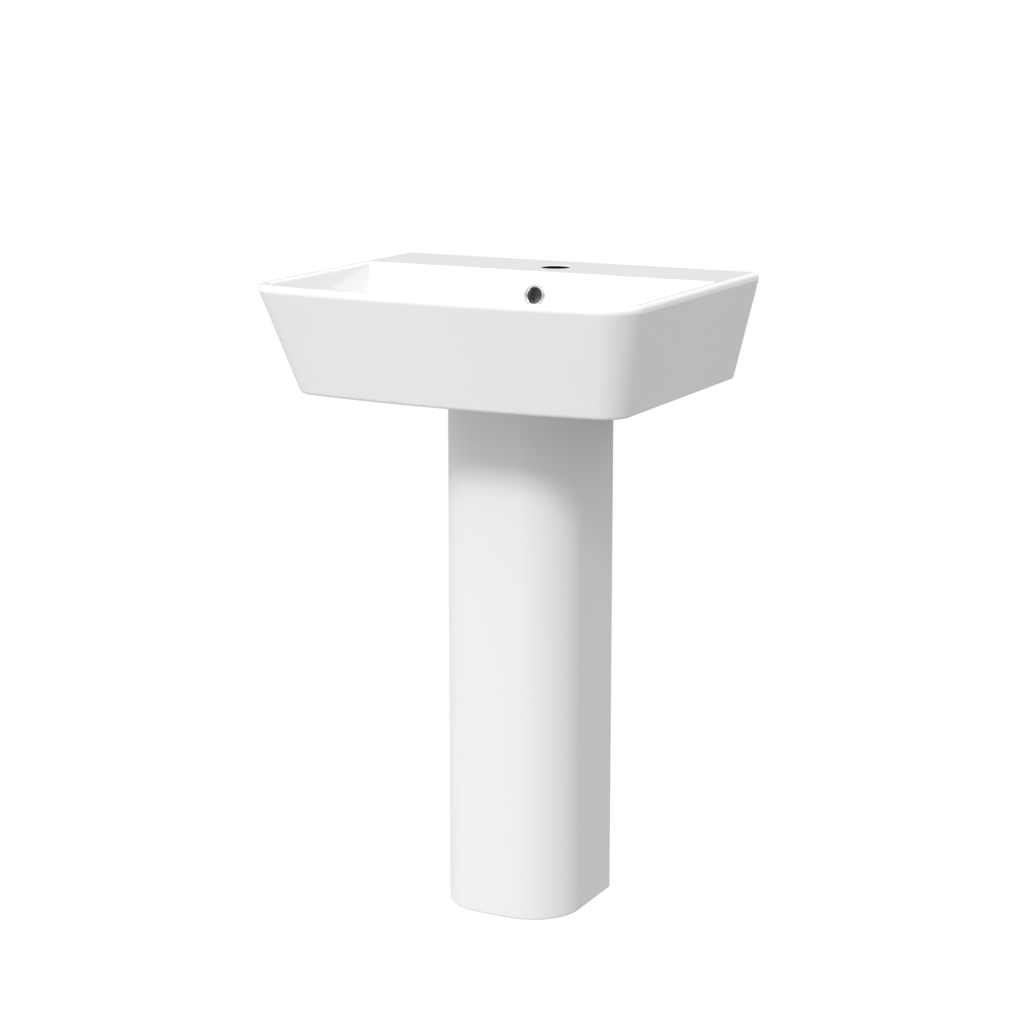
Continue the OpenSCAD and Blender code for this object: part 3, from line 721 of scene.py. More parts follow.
class BasinForm:
    """The basin's surfaces as rings, in the frame's axes."""

    BACK_SHARE = 0.45
    WELL = 1.5 * MM
    SEAT_DEPTH = 2.5 * MM

    def __init__(self, sizes):
        self.s = sizes
        self.foot_z = RIM_Z - sizes.height
        self.waste_z = RIM_Z - sizes.bowl_depth
        self.under_z = self.waste_z - sizes.floor_thickness
        self.boss_z = self.waste_z - sizes.boss_height
        self.seat_r = reach("waste_body")[2] + MM
        self.wall_foot_z = self.waste_z + sizes.fillet + 4 * MM
        self.foot_half = sizes.width / 2 - sizes.side_lean

    def shifted(self, flat, z):
        flat = flat + np.array([0, WALL_Y])
        return lift(flat, z) if np.isscalar(z) else np.column_stack([flat, z])

    def outer(self, z, inset):
        s, t = self.s, (z - self.foot_z) / self.s.height
        return plan(
            lerp(self.foot_half, s.width / 2, t) - inset,
            inset - lerp(s.depth - s.front_lean, s.depth, t),
            -inset * self.BACK_SHARE,
            lerp(s.foot_corner, s.rim_corner, t) - inset,
            s.back_corner - inset * self.BACK_SHARE,
            s.front_bow,
        )

    def bowl(self, depth, inset=0.0, back_inset=0.0):
        s, t = self.s, depth / self.s.bowl_depth
        return plan(
            s.width / 2 - s.rim_width - depth * math.tan(s.side_slope) - inset,
            s.rim_width - s.depth + depth * math.tan(s.front_slope) + inset,
            -s.deck - depth * math.tan(s.back_slope) - back_inset,
            lerp(s.rim_corner - s.rim_width, s.floor_corner, t) - inset,
            lerp(4 * MM, s.floor_corner, t) - inset,
            s.front_bow * (1 - t / 2),
        )

    def floor_height(self, flat):
        away = np.hypot(flat[:, 0], flat[:, 1] - (WASTE_Y - WALL_Y))
        return self.waste_z + np.maximum(0, away - self.seat_r - self.WELL) * math.tan(self.s.floor_fall)

    def back_wall(self, z, behind=0.0):
        """Y of the bowl's back wall at height z, or of a face behind it, from the wall plane."""
        return -self.s.deck - (RIM_Z - z) * math.tan(self.s.back_slope) + behind

    def foot_rings(self):
        edge = self.s.foot_edge
        for gone, left in rounding(EDGE_POINTS):
            z = self.foot_z + edge * gone
            yield self.shifted(self.outer(z, edge * left), z)
        for z in np.linspace(self.foot_z + edge, RIM_Z - self.s.rim_edge, 12)[1:-1]:
            yield self.shifted(self.outer(z, 0), z)

    def rim_rings(self):
        edge, mouth = self.s.rim_edge, self.s.mouth_edge
        for gone, left in rounding(2 * EDGE_POINTS):
            z = RIM_Z - edge * left
            yield self.shifted(self.outer(z, edge * gone), z)
        outside, inside = self.outer(RIM_Z, edge), self.bowl(0, -mouth, -mouth)
        for t in (0.06, 0.25, 0.5, 0.75, 0.94):
            yield self.shifted(lerp(outside, inside, t), RIM_Z)
        for gone, left in rounding(EDGE_POINTS + 2):
            yield self.shifted(self.bowl(mouth * gone, -mouth * left, -mouth * left), RIM_Z - mouth * gone)

    def bowl_rings(self):
        s = self.s
        for z in np.linspace(RIM_Z - s.mouth_edge, self.wall_foot_z, 12)[1:-1]:
            yield self.shifted(self.bowl(RIM_Z - z), z)
        for a in np.linspace(0, math.pi / 2, 2 * EDGE_POINTS + 3):
            fall, inset = math.sin(a), 1 - math.cos(a)
            depth = RIM_Z - lerp(self.wall_foot_z, self.waste_z, fall)
            flat = self.bowl(depth, s.fillet * inset, s.back_fillet * inset)
            yield self.shifted(flat, lerp(self.wall_foot_z, self.floor_height(flat), fall))
        floor = self.bowl(s.bowl_depth, s.fillet, s.back_fillet)
        angle = np.arctan2(floor[:, 1] - (WASTE_Y - WALL_Y), floor[:, 0])
        radius = self.seat_r + self.WELL
        well = np.column_stack([radius * np.cos(angle), WASTE_Y - WALL_Y + radius * np.sin(angle)])
        for t in (0.04, 0.2, 0.4, 0.6, 0.8, 1.0):
            flat = lerp(floor, well, t)
            yield self.shifted(flat, self.floor_height(flat))

    def block(self):
        return loft("basin_glazed", [*self.foot_rings(), *self.rim_rings(), *self.bowl_rings()])

    def underside(self):
        """Tool for the shallow hollow under the bowl, with a rounded ceiling."""
        s, soft, rings = self.s, 5 * MM, []
        levels = [(self.foot_z - MM, 0.0), (self.foot_z + MM, 0.0)]
        levels += [(self.under_z - soft * left, soft * gone) for gone, left in rounding(5)]
        for z, inset in levels:
            flat = plan(
                self.foot_half - s.foot_lip - inset,
                s.foot_lip - (s.depth - s.front_lean) + inset,
                -s.back_thickness - inset,
                s.foot_corner - s.foot_lip / 2,
                6 * MM,
                s.front_bow,
            )
            rings.append(self.shifted(flat, z))
        return loft("underside_tool", rings)

    def under_deck(self):
        """Tool for the hollow under the deck."""
        s, soft, rings = self.s, 6 * MM, []
        top = RIM_Z - s.deck_thickness
        levels = [(self.foot_z - 2 * MM, 0.0), (top - soft, 0.0)]
        levels += [(top - soft * left, soft * gone) for gone, left in rounding(5)[1:]]
        for z, inset in levels:
            half = self.foot_half - s.foot_lip + s.side_lean * (z - self.foot_z) / s.height
            front, back = self.back_wall(z, s.back_thickness), -s.back_thickness
            rings.append(self.shifted(plan(half - inset, front + inset, back - inset, 8 * MM, 8 * MM, 0), z))
        return loft("under_deck_tool", rings)

    def duct(self, width, near, far, top, low, rise):
        """A duct down the back of the bowl and under its floor to the waste."""
        behind = self.s.back_thickness
        side = [
            (self.back_wall(top, behind + near), top), (self.back_wall(low, behind + near), low + rise),
            (WASTE_Y - WALL_Y, low + rise), (WASTE_Y - WALL_Y, low), (self.back_wall(low, behind + far), low),
            (self.back_wall(top, behind + far), top),
        ]
        rings = [np.array([(x, y + WALL_Y, z) for y, z in side]) for x in (-width / 2, width / 2)]
        return loft("duct_tool", rings)


BASIN_HOLE_SIDES = 128
WASTE_EDGE = 1.2 * MM
BOSS_WALL = 13 * MM
DUCT_WIDTH = 48 * MM
DUCT_DEPTH = 18 * MM
DUCT_WALL = 7 * MM
DUCT_HEIGHT = 14 * MM
BOLT_HOLE_R = 7 * MM
SKIN = 0.3 * MM  # how near a face lies to the foot or wall plane to be left bare


def tap_hole_tool(sizes):
    mount = MOUNTS["tap_hole"]
    radius, edge = mount["dims"]["r_mm"] * MM, sizes.tap_edge
    flare = [(radius + edge * gone, RIM_Z - edge * left) for gone, left in rounding(8)]
    low = RIM_Z - sizes.deck_thickness - MM
    profile = [(0, low), (radius, low), *flare, (radius + edge, RIM_Z + MM), (0, RIM_Z + MM)]
    tool = turned("tap_tool", profile, BASIN_HOLE_SIDES, soft=0)
    return moved(tool, y=mount["pos_m"][1])


def waste_tool(form):
    hole, seat, top, low = form.s.waste_hole / 2, form.seat_r, form.waste_z, form.boss_z - MM
    flare = [(seat + WASTE_EDGE * gone, top - WASTE_EDGE * left) for gone, left in rounding(6)]
    profile = [(0, low), (hole, low), (hole, top - form.SEAT_DEPTH), (seat, top - form.SEAT_DEPTH), *flare]
    profile += [(seat + WASTE_EDGE, top + 3 * MM), (0, top + 3 * MM)]
    return moved(turned("waste_tool", profile, BASIN_HOLE_SIDES, soft=0), y=WASTE_Y)


def boss(form):
    radius, edge = form.s.waste_hole / 2 + BOSS_WALL, 1.5 * MM
    low, top = form.boss_z, form.under_z + 2 * MM
    profile = [(0, low), (radius - edge, low), (radius, low + edge), (radius, top), (0, top)]
    return moved(turned("boss", profile, BASIN_HOLE_SIDES, soft=MM), y=WASTE_Y)


def round_tool(radius, low, high, x, z):
    """A drill along Y between two depths from the wall plane."""
    return moved(rod("drill", radius, low, high), x, WALL_Y, z, SIDEWAYS)


class SINK_OT_basin(bpy.types.Operator):
    """Builds the glazed basin with its holes, hollow underside and overflow duct"""

    bl_idname = "sink.basin"
    bl_label = "Basin"

    def execute(self, context):
        sizes = context.scene.sink_basin
        form = BasinForm(sizes)

        def block_coat(face):
            bare = face.center.z < form.foot_z + SKIN or face.center.y > WALL_Y - SKIN / 3
            return "bisque" if bare else "ceramic"

        # Faces below the glazed rounding take the bore's near black painted shade.
        def tap_coat(face):
            return "ceramic" if face.center.z > RIM_Z - sizes.tap_edge - 0.01 * MM else "bore"

        basin = coated(form.block(), "ceramic", "bisque", choose=block_coat)
        carve(basin, coated(form.underside(), "bisque"))
        carve(basin, coated(form.under_deck(), "bisque"))
        low, top = form.boss_z, RIM_Z - sizes.deck_thickness
        rise = form.under_z + MM - low
        outside = form.duct(DUCT_WIDTH, -sizes.back_thickness / 2, DUCT_DEPTH, top + MM, low, rise)
        width, depth = DUCT_WIDTH - 2 * DUCT_WALL, DUCT_DEPTH - DUCT_WALL
        inside = form.duct(width, 0, depth, top - DUCT_WALL, low + DUCT_WALL, DUCT_HEIGHT)
        join(basin, coated(outside, "bisque"))
        join(basin, coated(boss(form), "bisque"))
        # The duct's inner walls take the dark grey painted shade.
        carve(basin, coated(inside, "duct"))
        # The tap hole's wall is painted near black as shade; its top rounding stays glazed.
        carve(basin, coated(tap_hole_tool(sizes), "bore", "ceramic", choose=tap_coat))
        carve(basin, coated(waste_tool(form), "ceramic"))
        overflow_z = RIM_Z - sizes.overflow_drop
        front = form.back_wall(overflow_z) - 8 * MM
        back = form.back_wall(overflow_z + sizes.overflow / 2, sizes.back_thickness) + MM
        # The overflow hole's wall takes the same dark grey painted shade.
        carve(basin, coated(round_tool(sizes.overflow / 2, front, back, 0, overflow_z), "duct"))
        for x, _, z in (mount["pos_m"] for mount in WALL_PLUGS):
            carve(basin, coated(round_tool(BOLT_HOLE_R, -sizes.back_thickness - MM, MM, x, z), "bisque"))
        dress(basin, "basin", crease=32)
        return {"FINISHED"}


# ---------- overflow ring ----------


BEZEL = 2.6 * MM
RING_WALL = 1.6 * MM
RING_DEPTH = 7.8 * MM


class SINK_OT_overflow_ring(bpy.types.Operator):
    """Builds the chromed ring around the overflow"""

    bl_idname = "sink.overflow_ring"
    bl_label = "Overflow Ring"

    def execute(self, context):
        sizes = context.scene.sink_basin
        form = BasinForm(sizes)
        tube, bezel = sizes.overflow / 2 - 0.3 * MM, sizes.overflow / 2 + BEZEL
        bore = tube - RING_WALL
        profile = [
            (bore, -RING_DEPTH), (tube, -RING_DEPTH), (tube, 0.25 * MM), (bezel - 0.4 * MM, 0.25 * MM),
            (bezel, 0.9 * MM), (bezel - 0.5 * MM, 1.6 * MM), (bezel - 2.0 * MM, 2.0 * MM),
            (bore + 0.8 * MM, 1.5 * MM), (bore, 0.4 * MM),
        ]
        ring = turned("overflow_bezel", profile, 128, soft=0.5 * MM, longest=0.6 * MM)
        facing = Matrix.Rotation(math.pi / 2 - sizes.back_slope, 4, "X")
        z = RIM_Z - sizes.overflow_drop
        moved(ring, 0, WALL_Y + form.back_wall(z), z, facing)
        dress(ring, "overflow_ring")
        return {"FINISHED"}


# ---------- pedestal ----------


def shell_plan(sizes, e):
    """Outline of the pedestal's open-backed wall, drawn in by e on both of its faces."""
    low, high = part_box("pedestal")
    half, front, back = (high.x - low.x) / 2, low.y, high.y
    quarter = math.pi / 2

    def side_of(half, front, corner):
        lean, end_x, centre_y = front_end(half, front, corner, sizes.bow)
        x = np.linspace(0, end_x, FRONT_POINTS // 2)
        bowed = np.column_stack([x, front + sizes.bow * (x / end_x) ** 2])
        corner_arc = arc(half - corner, centre_y, corner, lean - quarter, 0, 2 * CORNER_POINTS)
        return np.concatenate([bowed, corner_arc]), centre_y

    edge = sizes.back_corner - 0.6 * MM - e
    end = back - e
    outer, outer_y = side_of(half - e, front + e, sizes.front_corner - e)
    wall = sizes.thickness - e
    inner, inner_y = side_of(half - wall, front + wall, sizes.front_corner - wall)
    right = [
        outer,
        line((half - e, outer_y), (half - e, end - edge), SIDE_POINTS),
        arc(half - e - edge, end - edge, edge, 0, quarter, EDGE_POINTS),
        arc(half - wall + edge, end - edge, edge, quarter, 2 * quarter, EDGE_POINTS),
        line((half - wall, end - edge), (half - wall, inner_y), SIDE_POINTS),
        inner[::-1][1:],
    ]
    right = np.concatenate(right)
    left = right[::-1][1:-1] * np.array([-1, 1])
    return np.concatenate([right, left])


def floor_screws():
    """Spacing across X, Y and radius of the holes for the floor screws."""
    mount = MOUNTS["floor_screws"]
    return mount["dims"]["spacing_x_mm"] * MM, mount["pos_m"][1], mount["dims"]["hole_r_mm"] * MM


def foot_lug(sizes, side, gap, bush_y, radius):
    """Thick ear inside a back foot that takes the floor screw."""
    low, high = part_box("pedestal")
    reach_out = (high.x - low.x) / 2 - sizes.thickness / 2 - gap / 2
    angle = np.linspace(math.pi / 2, 3 * math.pi / 2, 33)
    outline = np.column_stack([radius * np.cos(angle), radius * np.sin(angle)])
    outline = np.concatenate([outline, [(reach_out, -radius), (reach_out, radius)]]) * np.array([side, 1])
    rings = []
    for z, inset in ((0, 0.6), (0.6, 0), (sizes.lug_height / MM - 1.5, 0), (sizes.lug_height / MM, 1.5)):
        shrink = 1 - inset * MM / radius
        rings.append(lift(outline * shrink + np.array([side * gap / 2, bush_y]), z * MM))
    return loft("lug", rings)


class SINK_OT_pedestal(bpy.types.Operator):
    """Builds the open-backed pedestal with its foot lugs"""

    bl_idname = "sink.pedestal"
    bl_label = "Pedestal"

    def execute(self, context):
        sizes = context.scene.sink_pedestal
        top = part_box("pedestal")[1].z
        edge, rings = sizes.foot_edge, []
        for gone, left in rounding(EDGE_POINTS):
            rings.append(lift(shell_plan(sizes, edge * left * 0.8), edge * gone))
        for t in steps(24):
            rings.append(lift(shell_plan(sizes, 0), lerp(edge, top - edge, t)))
        for gone, left in rounding(EDGE_POINTS)[1:]:
            rings.append(lift(shell_plan(sizes, edge * gone * 0.8), top - edge * left))
        pedestal = loft("pedestal_glazed", rings)
        gap, bush_y, hole = floor_screws()
        for side in (-1, 1):
            join(pedestal, foot_lug(sizes, side, gap, bush_y, hole + 11 * MM))
            screw_tool = rod("screw_tool", hole + 1.75 * MM, -MM, sizes.lug_height + MM)
            carve(pedestal, moved(screw_tool, side * gap / 2, bush_y))

        def bare(face):
            return "ceramic" if 0.7 * MM < face.center.z < top - 0.7 * MM else "bisque"

        coated(pedestal, "ceramic", "bisque", choose=bare)
        dress(pedestal, "pedestal", crease=32)
        return {"FINISHED"}


class SINK_OT_feet(bpy.types.Operator):
    """Builds the rubber pads under the basin and the nylon bushes in the foot lugs"""

    bl_idname = "sink.feet"
    bl_label = "Pads and Bushes"

    def execute(self, context):
        low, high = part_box("seating_pads")
        pad_w, pad_l = 7 * MM, 21 * MM
        pads = []
        for x in (low.x + pad_w / 2, high.x - pad_w / 2):
            for y in (low.y + pad_l / 2, high.y - pad_l / 2):
                rings = []
                for z, inset in ((0, 0.35), (0.3, 0.05), (1, -0.25), (1.7, 0.05), (2, 0.35)):
                    r, end = pad_w / 2 - inset * MM, (pad_l - pad_w) / 2
                    ends = arc(0, end, r, 0, math.pi, 16), arc(0, -end, r, math.pi, 2 * math.pi, 16)
                    rings.append(lift(np.concatenate(ends) + np.array([x, y]), lerp(low.z, high.z, z / 2)))
                pads.append(loft("pad", rings))
        dress(merged("seating_pads_rubber", pads), "seating_pads")

        gap, y, bore = floor_screws()
        low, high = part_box("foot_bushes")
        flange_r = (high.x - low.x - gap) / 2
        tube = bore + 1.6 * MM
        profile = [
            (bore, low.z), (tube - 0.3 * MM, low.z), (tube, low.z + MM), (tube, high.z - 2.5 * MM),
            (flange_r, high.z - 2.5 * MM), (flange_r, high.z - 0.8 * MM), (flange_r - 1.2 * MM, high.z),
            (bore + 0.6 * MM, high.z), (bore, high.z - 0.8 * MM),
        ]
        bushes = [moved(turned("bush", profile, 64, soft=0.3 * MM), x, y) for x in (-gap / 2, gap / 2)]
        dress(merged("foot_bushes_nylon", bushes), "foot_bushes")
        return {"FINISHED"}


# ---------- waste ----------


def box_tool(x, y, z0, z1, turn=0.0, at=(0.0, 0.0)):
    """A straight cutter, x by y across and between two heights, turned about its middle."""
    flat = np.array([(-x, -y), (x, -y), (x, y), (-x, y)]) / 2 + np.array(at)
    c, s = math.cos(turn), math.sin(turn)
    flat = flat @ np.array([(c, s), (-s, c)])
    return loft("box_tool", [lift(flat, z0), lift(flat, z1)])


FLANGE = 2.5 * MM
MOUTH_DEPTH = 10 * MM
SLOT_WIDTH, SLOT_HEIGHT = 10 * MM, 12 * MM
BAR_WIDTH, BAR_HEIGHT = 4 * MM, 5 * MM
HUB_R = 7.5 * MM
STUD_HOLE_R = 4.2 * MM


class SINK_OT_waste(bpy.types.Operator):
    """Builds the chromed waste, its washers and its back nut"""

    bl_idname = "sink.waste"
    bl_label = "Waste"

    def execute(self, context):
        f = context.scene.sink_fittings
        low, top, flange_r = reach("waste_body")
        thread_r = f.thread / 2
        bore, mouth = thread_r - 2.6 * MM, thread_r - MM
        flange_low = top - FLANGE
        profile = [
            (bore, low), (thread_r - 0.6 * MM, low), (thread_r, low + 0.8 * MM), (thread_r, flange_low),
            (flange_r - 0.3 * MM, flange_low), (flange_r, flange_low + 0.5 * MM),
            (flange_r - 0.4 * MM, top - 0.7 * MM), (flange_r - 1.8 * MM, top), (mouth + 2 * MM, top),
            (mouth, top - 1.5 * MM), (mouth, top - MOUTH_DEPTH), (bore, top - MOUTH_DEPTH),
        ]
        shape = thread(low + MM, flange_low - 2 * MM, f.thread_pitch, 1.1 * MM, thread_r)
        body = turned("waste_chrome", profile, 96, soft=0.4 * MM, longest=0.5 * MM, shape=shape)
        slot_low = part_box("cone_washer")[1].z + 3 * MM
        for k in range(4):
            angle = math.pi / 4 + k * math.pi / 2
            slot_at = (0, -thread_r + 2 * MM)
            carve(body, box_tool(SLOT_WIDTH, 12 * MM, slot_low, slot_low + SLOT_HEIGHT, angle, slot_at))
        bar = slot_low + SLOT_HEIGHT + 3 * MM
        bar_top = bar + BAR_HEIGHT
        for turn in (0, math.pi / 2):
            join(body, box_tool(2 * bore + 2 * MM, BAR_WIDTH, bar, bar_top, turn))
        join(body, rod("hub", HUB_R, bar, bar_top, 48, 0.5 * MM))
        carve(body, rod("stud_tool", STUD_HOLE_R, bar - MM, bar_top + MM, 48))
        dress(moved(body, y=WASTE_Y), "waste_body", crease=30)

        self.washer("flange_washer", context.scene.sink_basin.waste_hole / 2 + 0.5 * MM)
        self.cone(f)
        self.back_nut(f)
        return {"FINISHED"}

    @staticmethod
    def washer(node, bore):
        low, high, radius = reach(node)
        profile = [(bore, low), (radius, low), (radius, high), (bore, high)]
        upright(f"{node}_rubber", node, profile, soft=0.35 * MM)

    @staticmethod
    def cone(f):
        low, high, radius = reach("cone_washer")
        bore = f.thread / 2 + f.thread_gap
        lip = high - 2.5 * MM
        profile = [
            (bore, low), (radius - 0.4 * MM, low), (radius, low + 1.2 * MM), (radius, lip),
            (radius - 3 * MM, high), (bore + 1.2 * MM, high), (bore, high - 1.2 * MM),
        ]
        upright("cone_washer_rubber", "cone_washer", profile, soft=0.6 * MM, longest=MM)

    @staticmethod
    def back_nut(f):
        low, high, widest = reach("backnut")
        corner, collar = f.thread / 2 + 8 * MM, min(f.thread / 2 + 11 * MM, widest)
        bore = f.thread / 2 + f.thread_gap
        step = high - 2.5 * MM
        profile = [
            (bore + 0.8 * MM, low), (corner - 1.6 * MM, low), (corner, low + 1.4 * MM), (corner, step),
            (collar - 0.2 * MM, step), (collar, step + 0.6 * MM), (collar, high - 0.5 * MM),
            (collar - 0.6 * MM, high), (bore + 0.6 * MM, high), (bore, high - 0.7 * MM), (bore, low + 0.8 * MM),
        ]
        cut = thread(low, high, f.thread_pitch, 0.9 * MM, bore, bore=True)
        sides = flats(8, corner)

        def shape(r, z, turn):
            return cut(np.where(z < step - 0.05 * MM, sides(r, z, turn), r), z, turn)

        upright("backnut_chrome", "backnut", profile, 192, 24, soft=0.3 * MM, longest=0.5 * MM, shape=shape)


# ---------- pop-up plug ----------


class SINK_OT_plug(bpy.types.Operator):
    """Builds the push-to-open plug: cartridge, spring, rod, cap and seal"""

    bl_idname = "sink.plug"
    bl_label = "Plug"

    def execute(self, context):
        self.cartridge()
        self.spring()
        self.rod()
        self.cap()
        low, high, radius = reach("plug_seal")
        bore, middle = radius - 3 * MM, (low + high) / 2
        profile = [(bore, low), (radius - 1.4 * MM, low), (radius, middle), (radius - 0.8 * MM, high), (bore, high)]
        upright("plug_seal_rubber", "plug_seal", profile, soft=0.5 * MM, longest=0.7 * MM)
        return {"FINISHED"}

    @staticmethod
    def cartridge():
        low, high, _ = reach("click_cartridge")
        stud, body, bore, throat = 4 * MM, 8 * MM, 6.3 * MM, 4.4 * MM
        seat = low + 9 * MM
        floor = seat + 3 * MM
        profile = [
            (0, low), (stud - 0.5 * MM, low), (stud, low + 0.7 * MM), (stud, seat), (body + 2 * MM, seat),
            (body + 2 * MM, seat + 4.4 * MM), (body + 1.2 * MM, seat + 5 * MM), (body, seat + 5 * MM),
            (body, high - 0.6 * MM), (body - 0.6 * MM, high), (throat + 0.3 * MM, high),
            (throat, high - 0.4 * MM), (throat, high - 2 * MM), (bore, high - 2 * MM), (bore, floor),
            (0, floor),
        ]
        hexagon = flats(6, body + 2 * MM)

        def shape(r, z, turn):
            on_collar = (z > seat - 0.1 * MM) & (z < seat + 5.05 * MM) & (r > body + 0.1 * MM)
            return np.where(on_collar, hexagon(r, z, turn), r)

        look = {"soft": 0.25 * MM, "longest": 0.8 * MM, "shape": shape}
        upright("cartridge_plastic", "click_cartridge", profile, crease=24, **look)

    @staticmethod
    def spring():
        low, high, radius = reach("plug_spring")
        wire = 0.5 * MM
        turns, per_turn, around = 6, 40, 12
        rings = []
        for i in range(turns * per_turn + 1):
            a = 2 * math.pi * i / per_turn
            t = i / (turns * per_turn)
            z = lerp(low + wire, high - wire, t)
            w = np.arange(around) * 2 * math.pi / around
            r = radius - wire + wire * np.cos(w)
            rings.append(np.column_stack([r * math.cos(a), r * math.sin(a) + WASTE_Y, z + wire * np.sin(w)]))
        spring = dress(loft("plug_spring_wire", rings), "plug_spring", crease=60)
        keep = 1 - (TRAVEL["plug_press"] + 0.1 * MM) / (high - low)
        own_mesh(spring)

    @staticmethod
    def rod():
        low, high, head = reach("plug_rod")
        stem = 4 * MM
        profile = [
            (0, low), (head - 0.5 * MM, low), (head, low + 0.5 * MM), (head, low + 3.4 * MM),
            (head - 0.6 * MM, low + 4 * MM), (stem, low + 4 * MM), (stem, low + 6 * MM),
            (stem - 0.5 * MM, low + 6.5 * MM), (stem - 0.5 * MM, low + 8 * MM), (stem, low + 8.5 * MM),
            (stem, high - 0.6 * MM), (stem - 0.6 * MM, high), (0, high),
        ]
        upright("plug_rod_steel", "plug_rod", profile, 64, soft=0.2 * MM)

    @staticmethod
    def cap():
        low, high, radius = reach("plug_cap")
        plate = high - 6.5 * MM
        hub, bore = 7.5 * MM, 4.1 * MM
        dome_r = 120 * MM
        crown = [(x, high - dome_r + math.sqrt(dome_r**2 - x**2)) for x in np.linspace(radius - MM, 0, 14)]
        edge_z = crown[0][1]
        profile = [
            (0, plate + 3.1 * MM), (bore, plate + 3.1 * MM), (bore + 0.4 * MM, low), (hub, low), (hub, plate),
            (radius - 1.2 * MM, plate), (radius - 0.3 * MM, plate + 0.5 * MM), (radius, plate + 1.3 * MM),
            (radius - 0.25 * MM, edge_z - 0.5 * MM), *crown,
        ]
        upright("plug_cap_chrome", "plug_cap", profile, 128, soft=0.35 * MM)


# ---------- trap ----------

NECK_WALL = 5 * MM  # wall of a threaded neck around its pipe
NUT_WALL = 4.5 * MM
LIP = 4 * MM  # what a nut's seal rests on
HEAD_BAND = 1.5 * MM  # how far the head's lower edge stands out
HEAD_WALL = 3 * MM
BOTTLE_GAP = 0.4 * MM
BOTTLE_WALL = 2.4 * MM
SEAL_SEAT = 2.5 * MM  # depth of the taper that a seal is squeezed into


def ribbed_nut(name, f, neck, wall, height, pitch, count):
    """A moulded nut for a threaded neck: gripped by ribs, with a lip that carries its seal."""
    radius, bore, lip_bore = neck + wall, neck + f.thread_gap, f.pipe / 2 + f.slip_gap
    flange = 1.6 * MM
    profile = [
        (bore + 0.8 * MM, 0), (radius + 0.9 * MM, 0), (radius + flange, 0.7 * MM), (radius + flange, 2.0 * MM),
        (radius, 2.6 * MM), (radius, height - 1.6 * MM), (radius - 1.6 * MM, height),
        (lip_bore + 0.7 * MM, height), (lip_bore, height - 0.8 * MM), (lip_bore, height - LIP),
        (bore, height - LIP), (bore, MM),
    ]
    grip = ribs(count, 1.7 * MM, radius, 2.6 * MM, height - 1.8 * MM)
    cut = thread(MM, height - LIP - MM, pitch, 0.9 * MM, bore, bore=True)
    return turned(name, profile, count * 12, soft=0.35 * MM, longest=0.9 * MM, shape=both(grip, cut))


def seal_ring(node, f):
    """Tapered ring squeezed between a pipe, a socket's mouth and its nut."""
    pipe, height = f.pipe / 2, 5 * MM
    bore = pipe + 0.05 * MM
    profile = [(bore, 0), (pipe + 2.4 * MM, 0), (pipe + 4.6 * MM, height)]
    profile += [(bore + 1.2 * MM, height), (bore, height - 0.8 * MM)]
    return turned(f"{node}_rubber", profile, 96, soft=0.4 * MM, longest=MM)


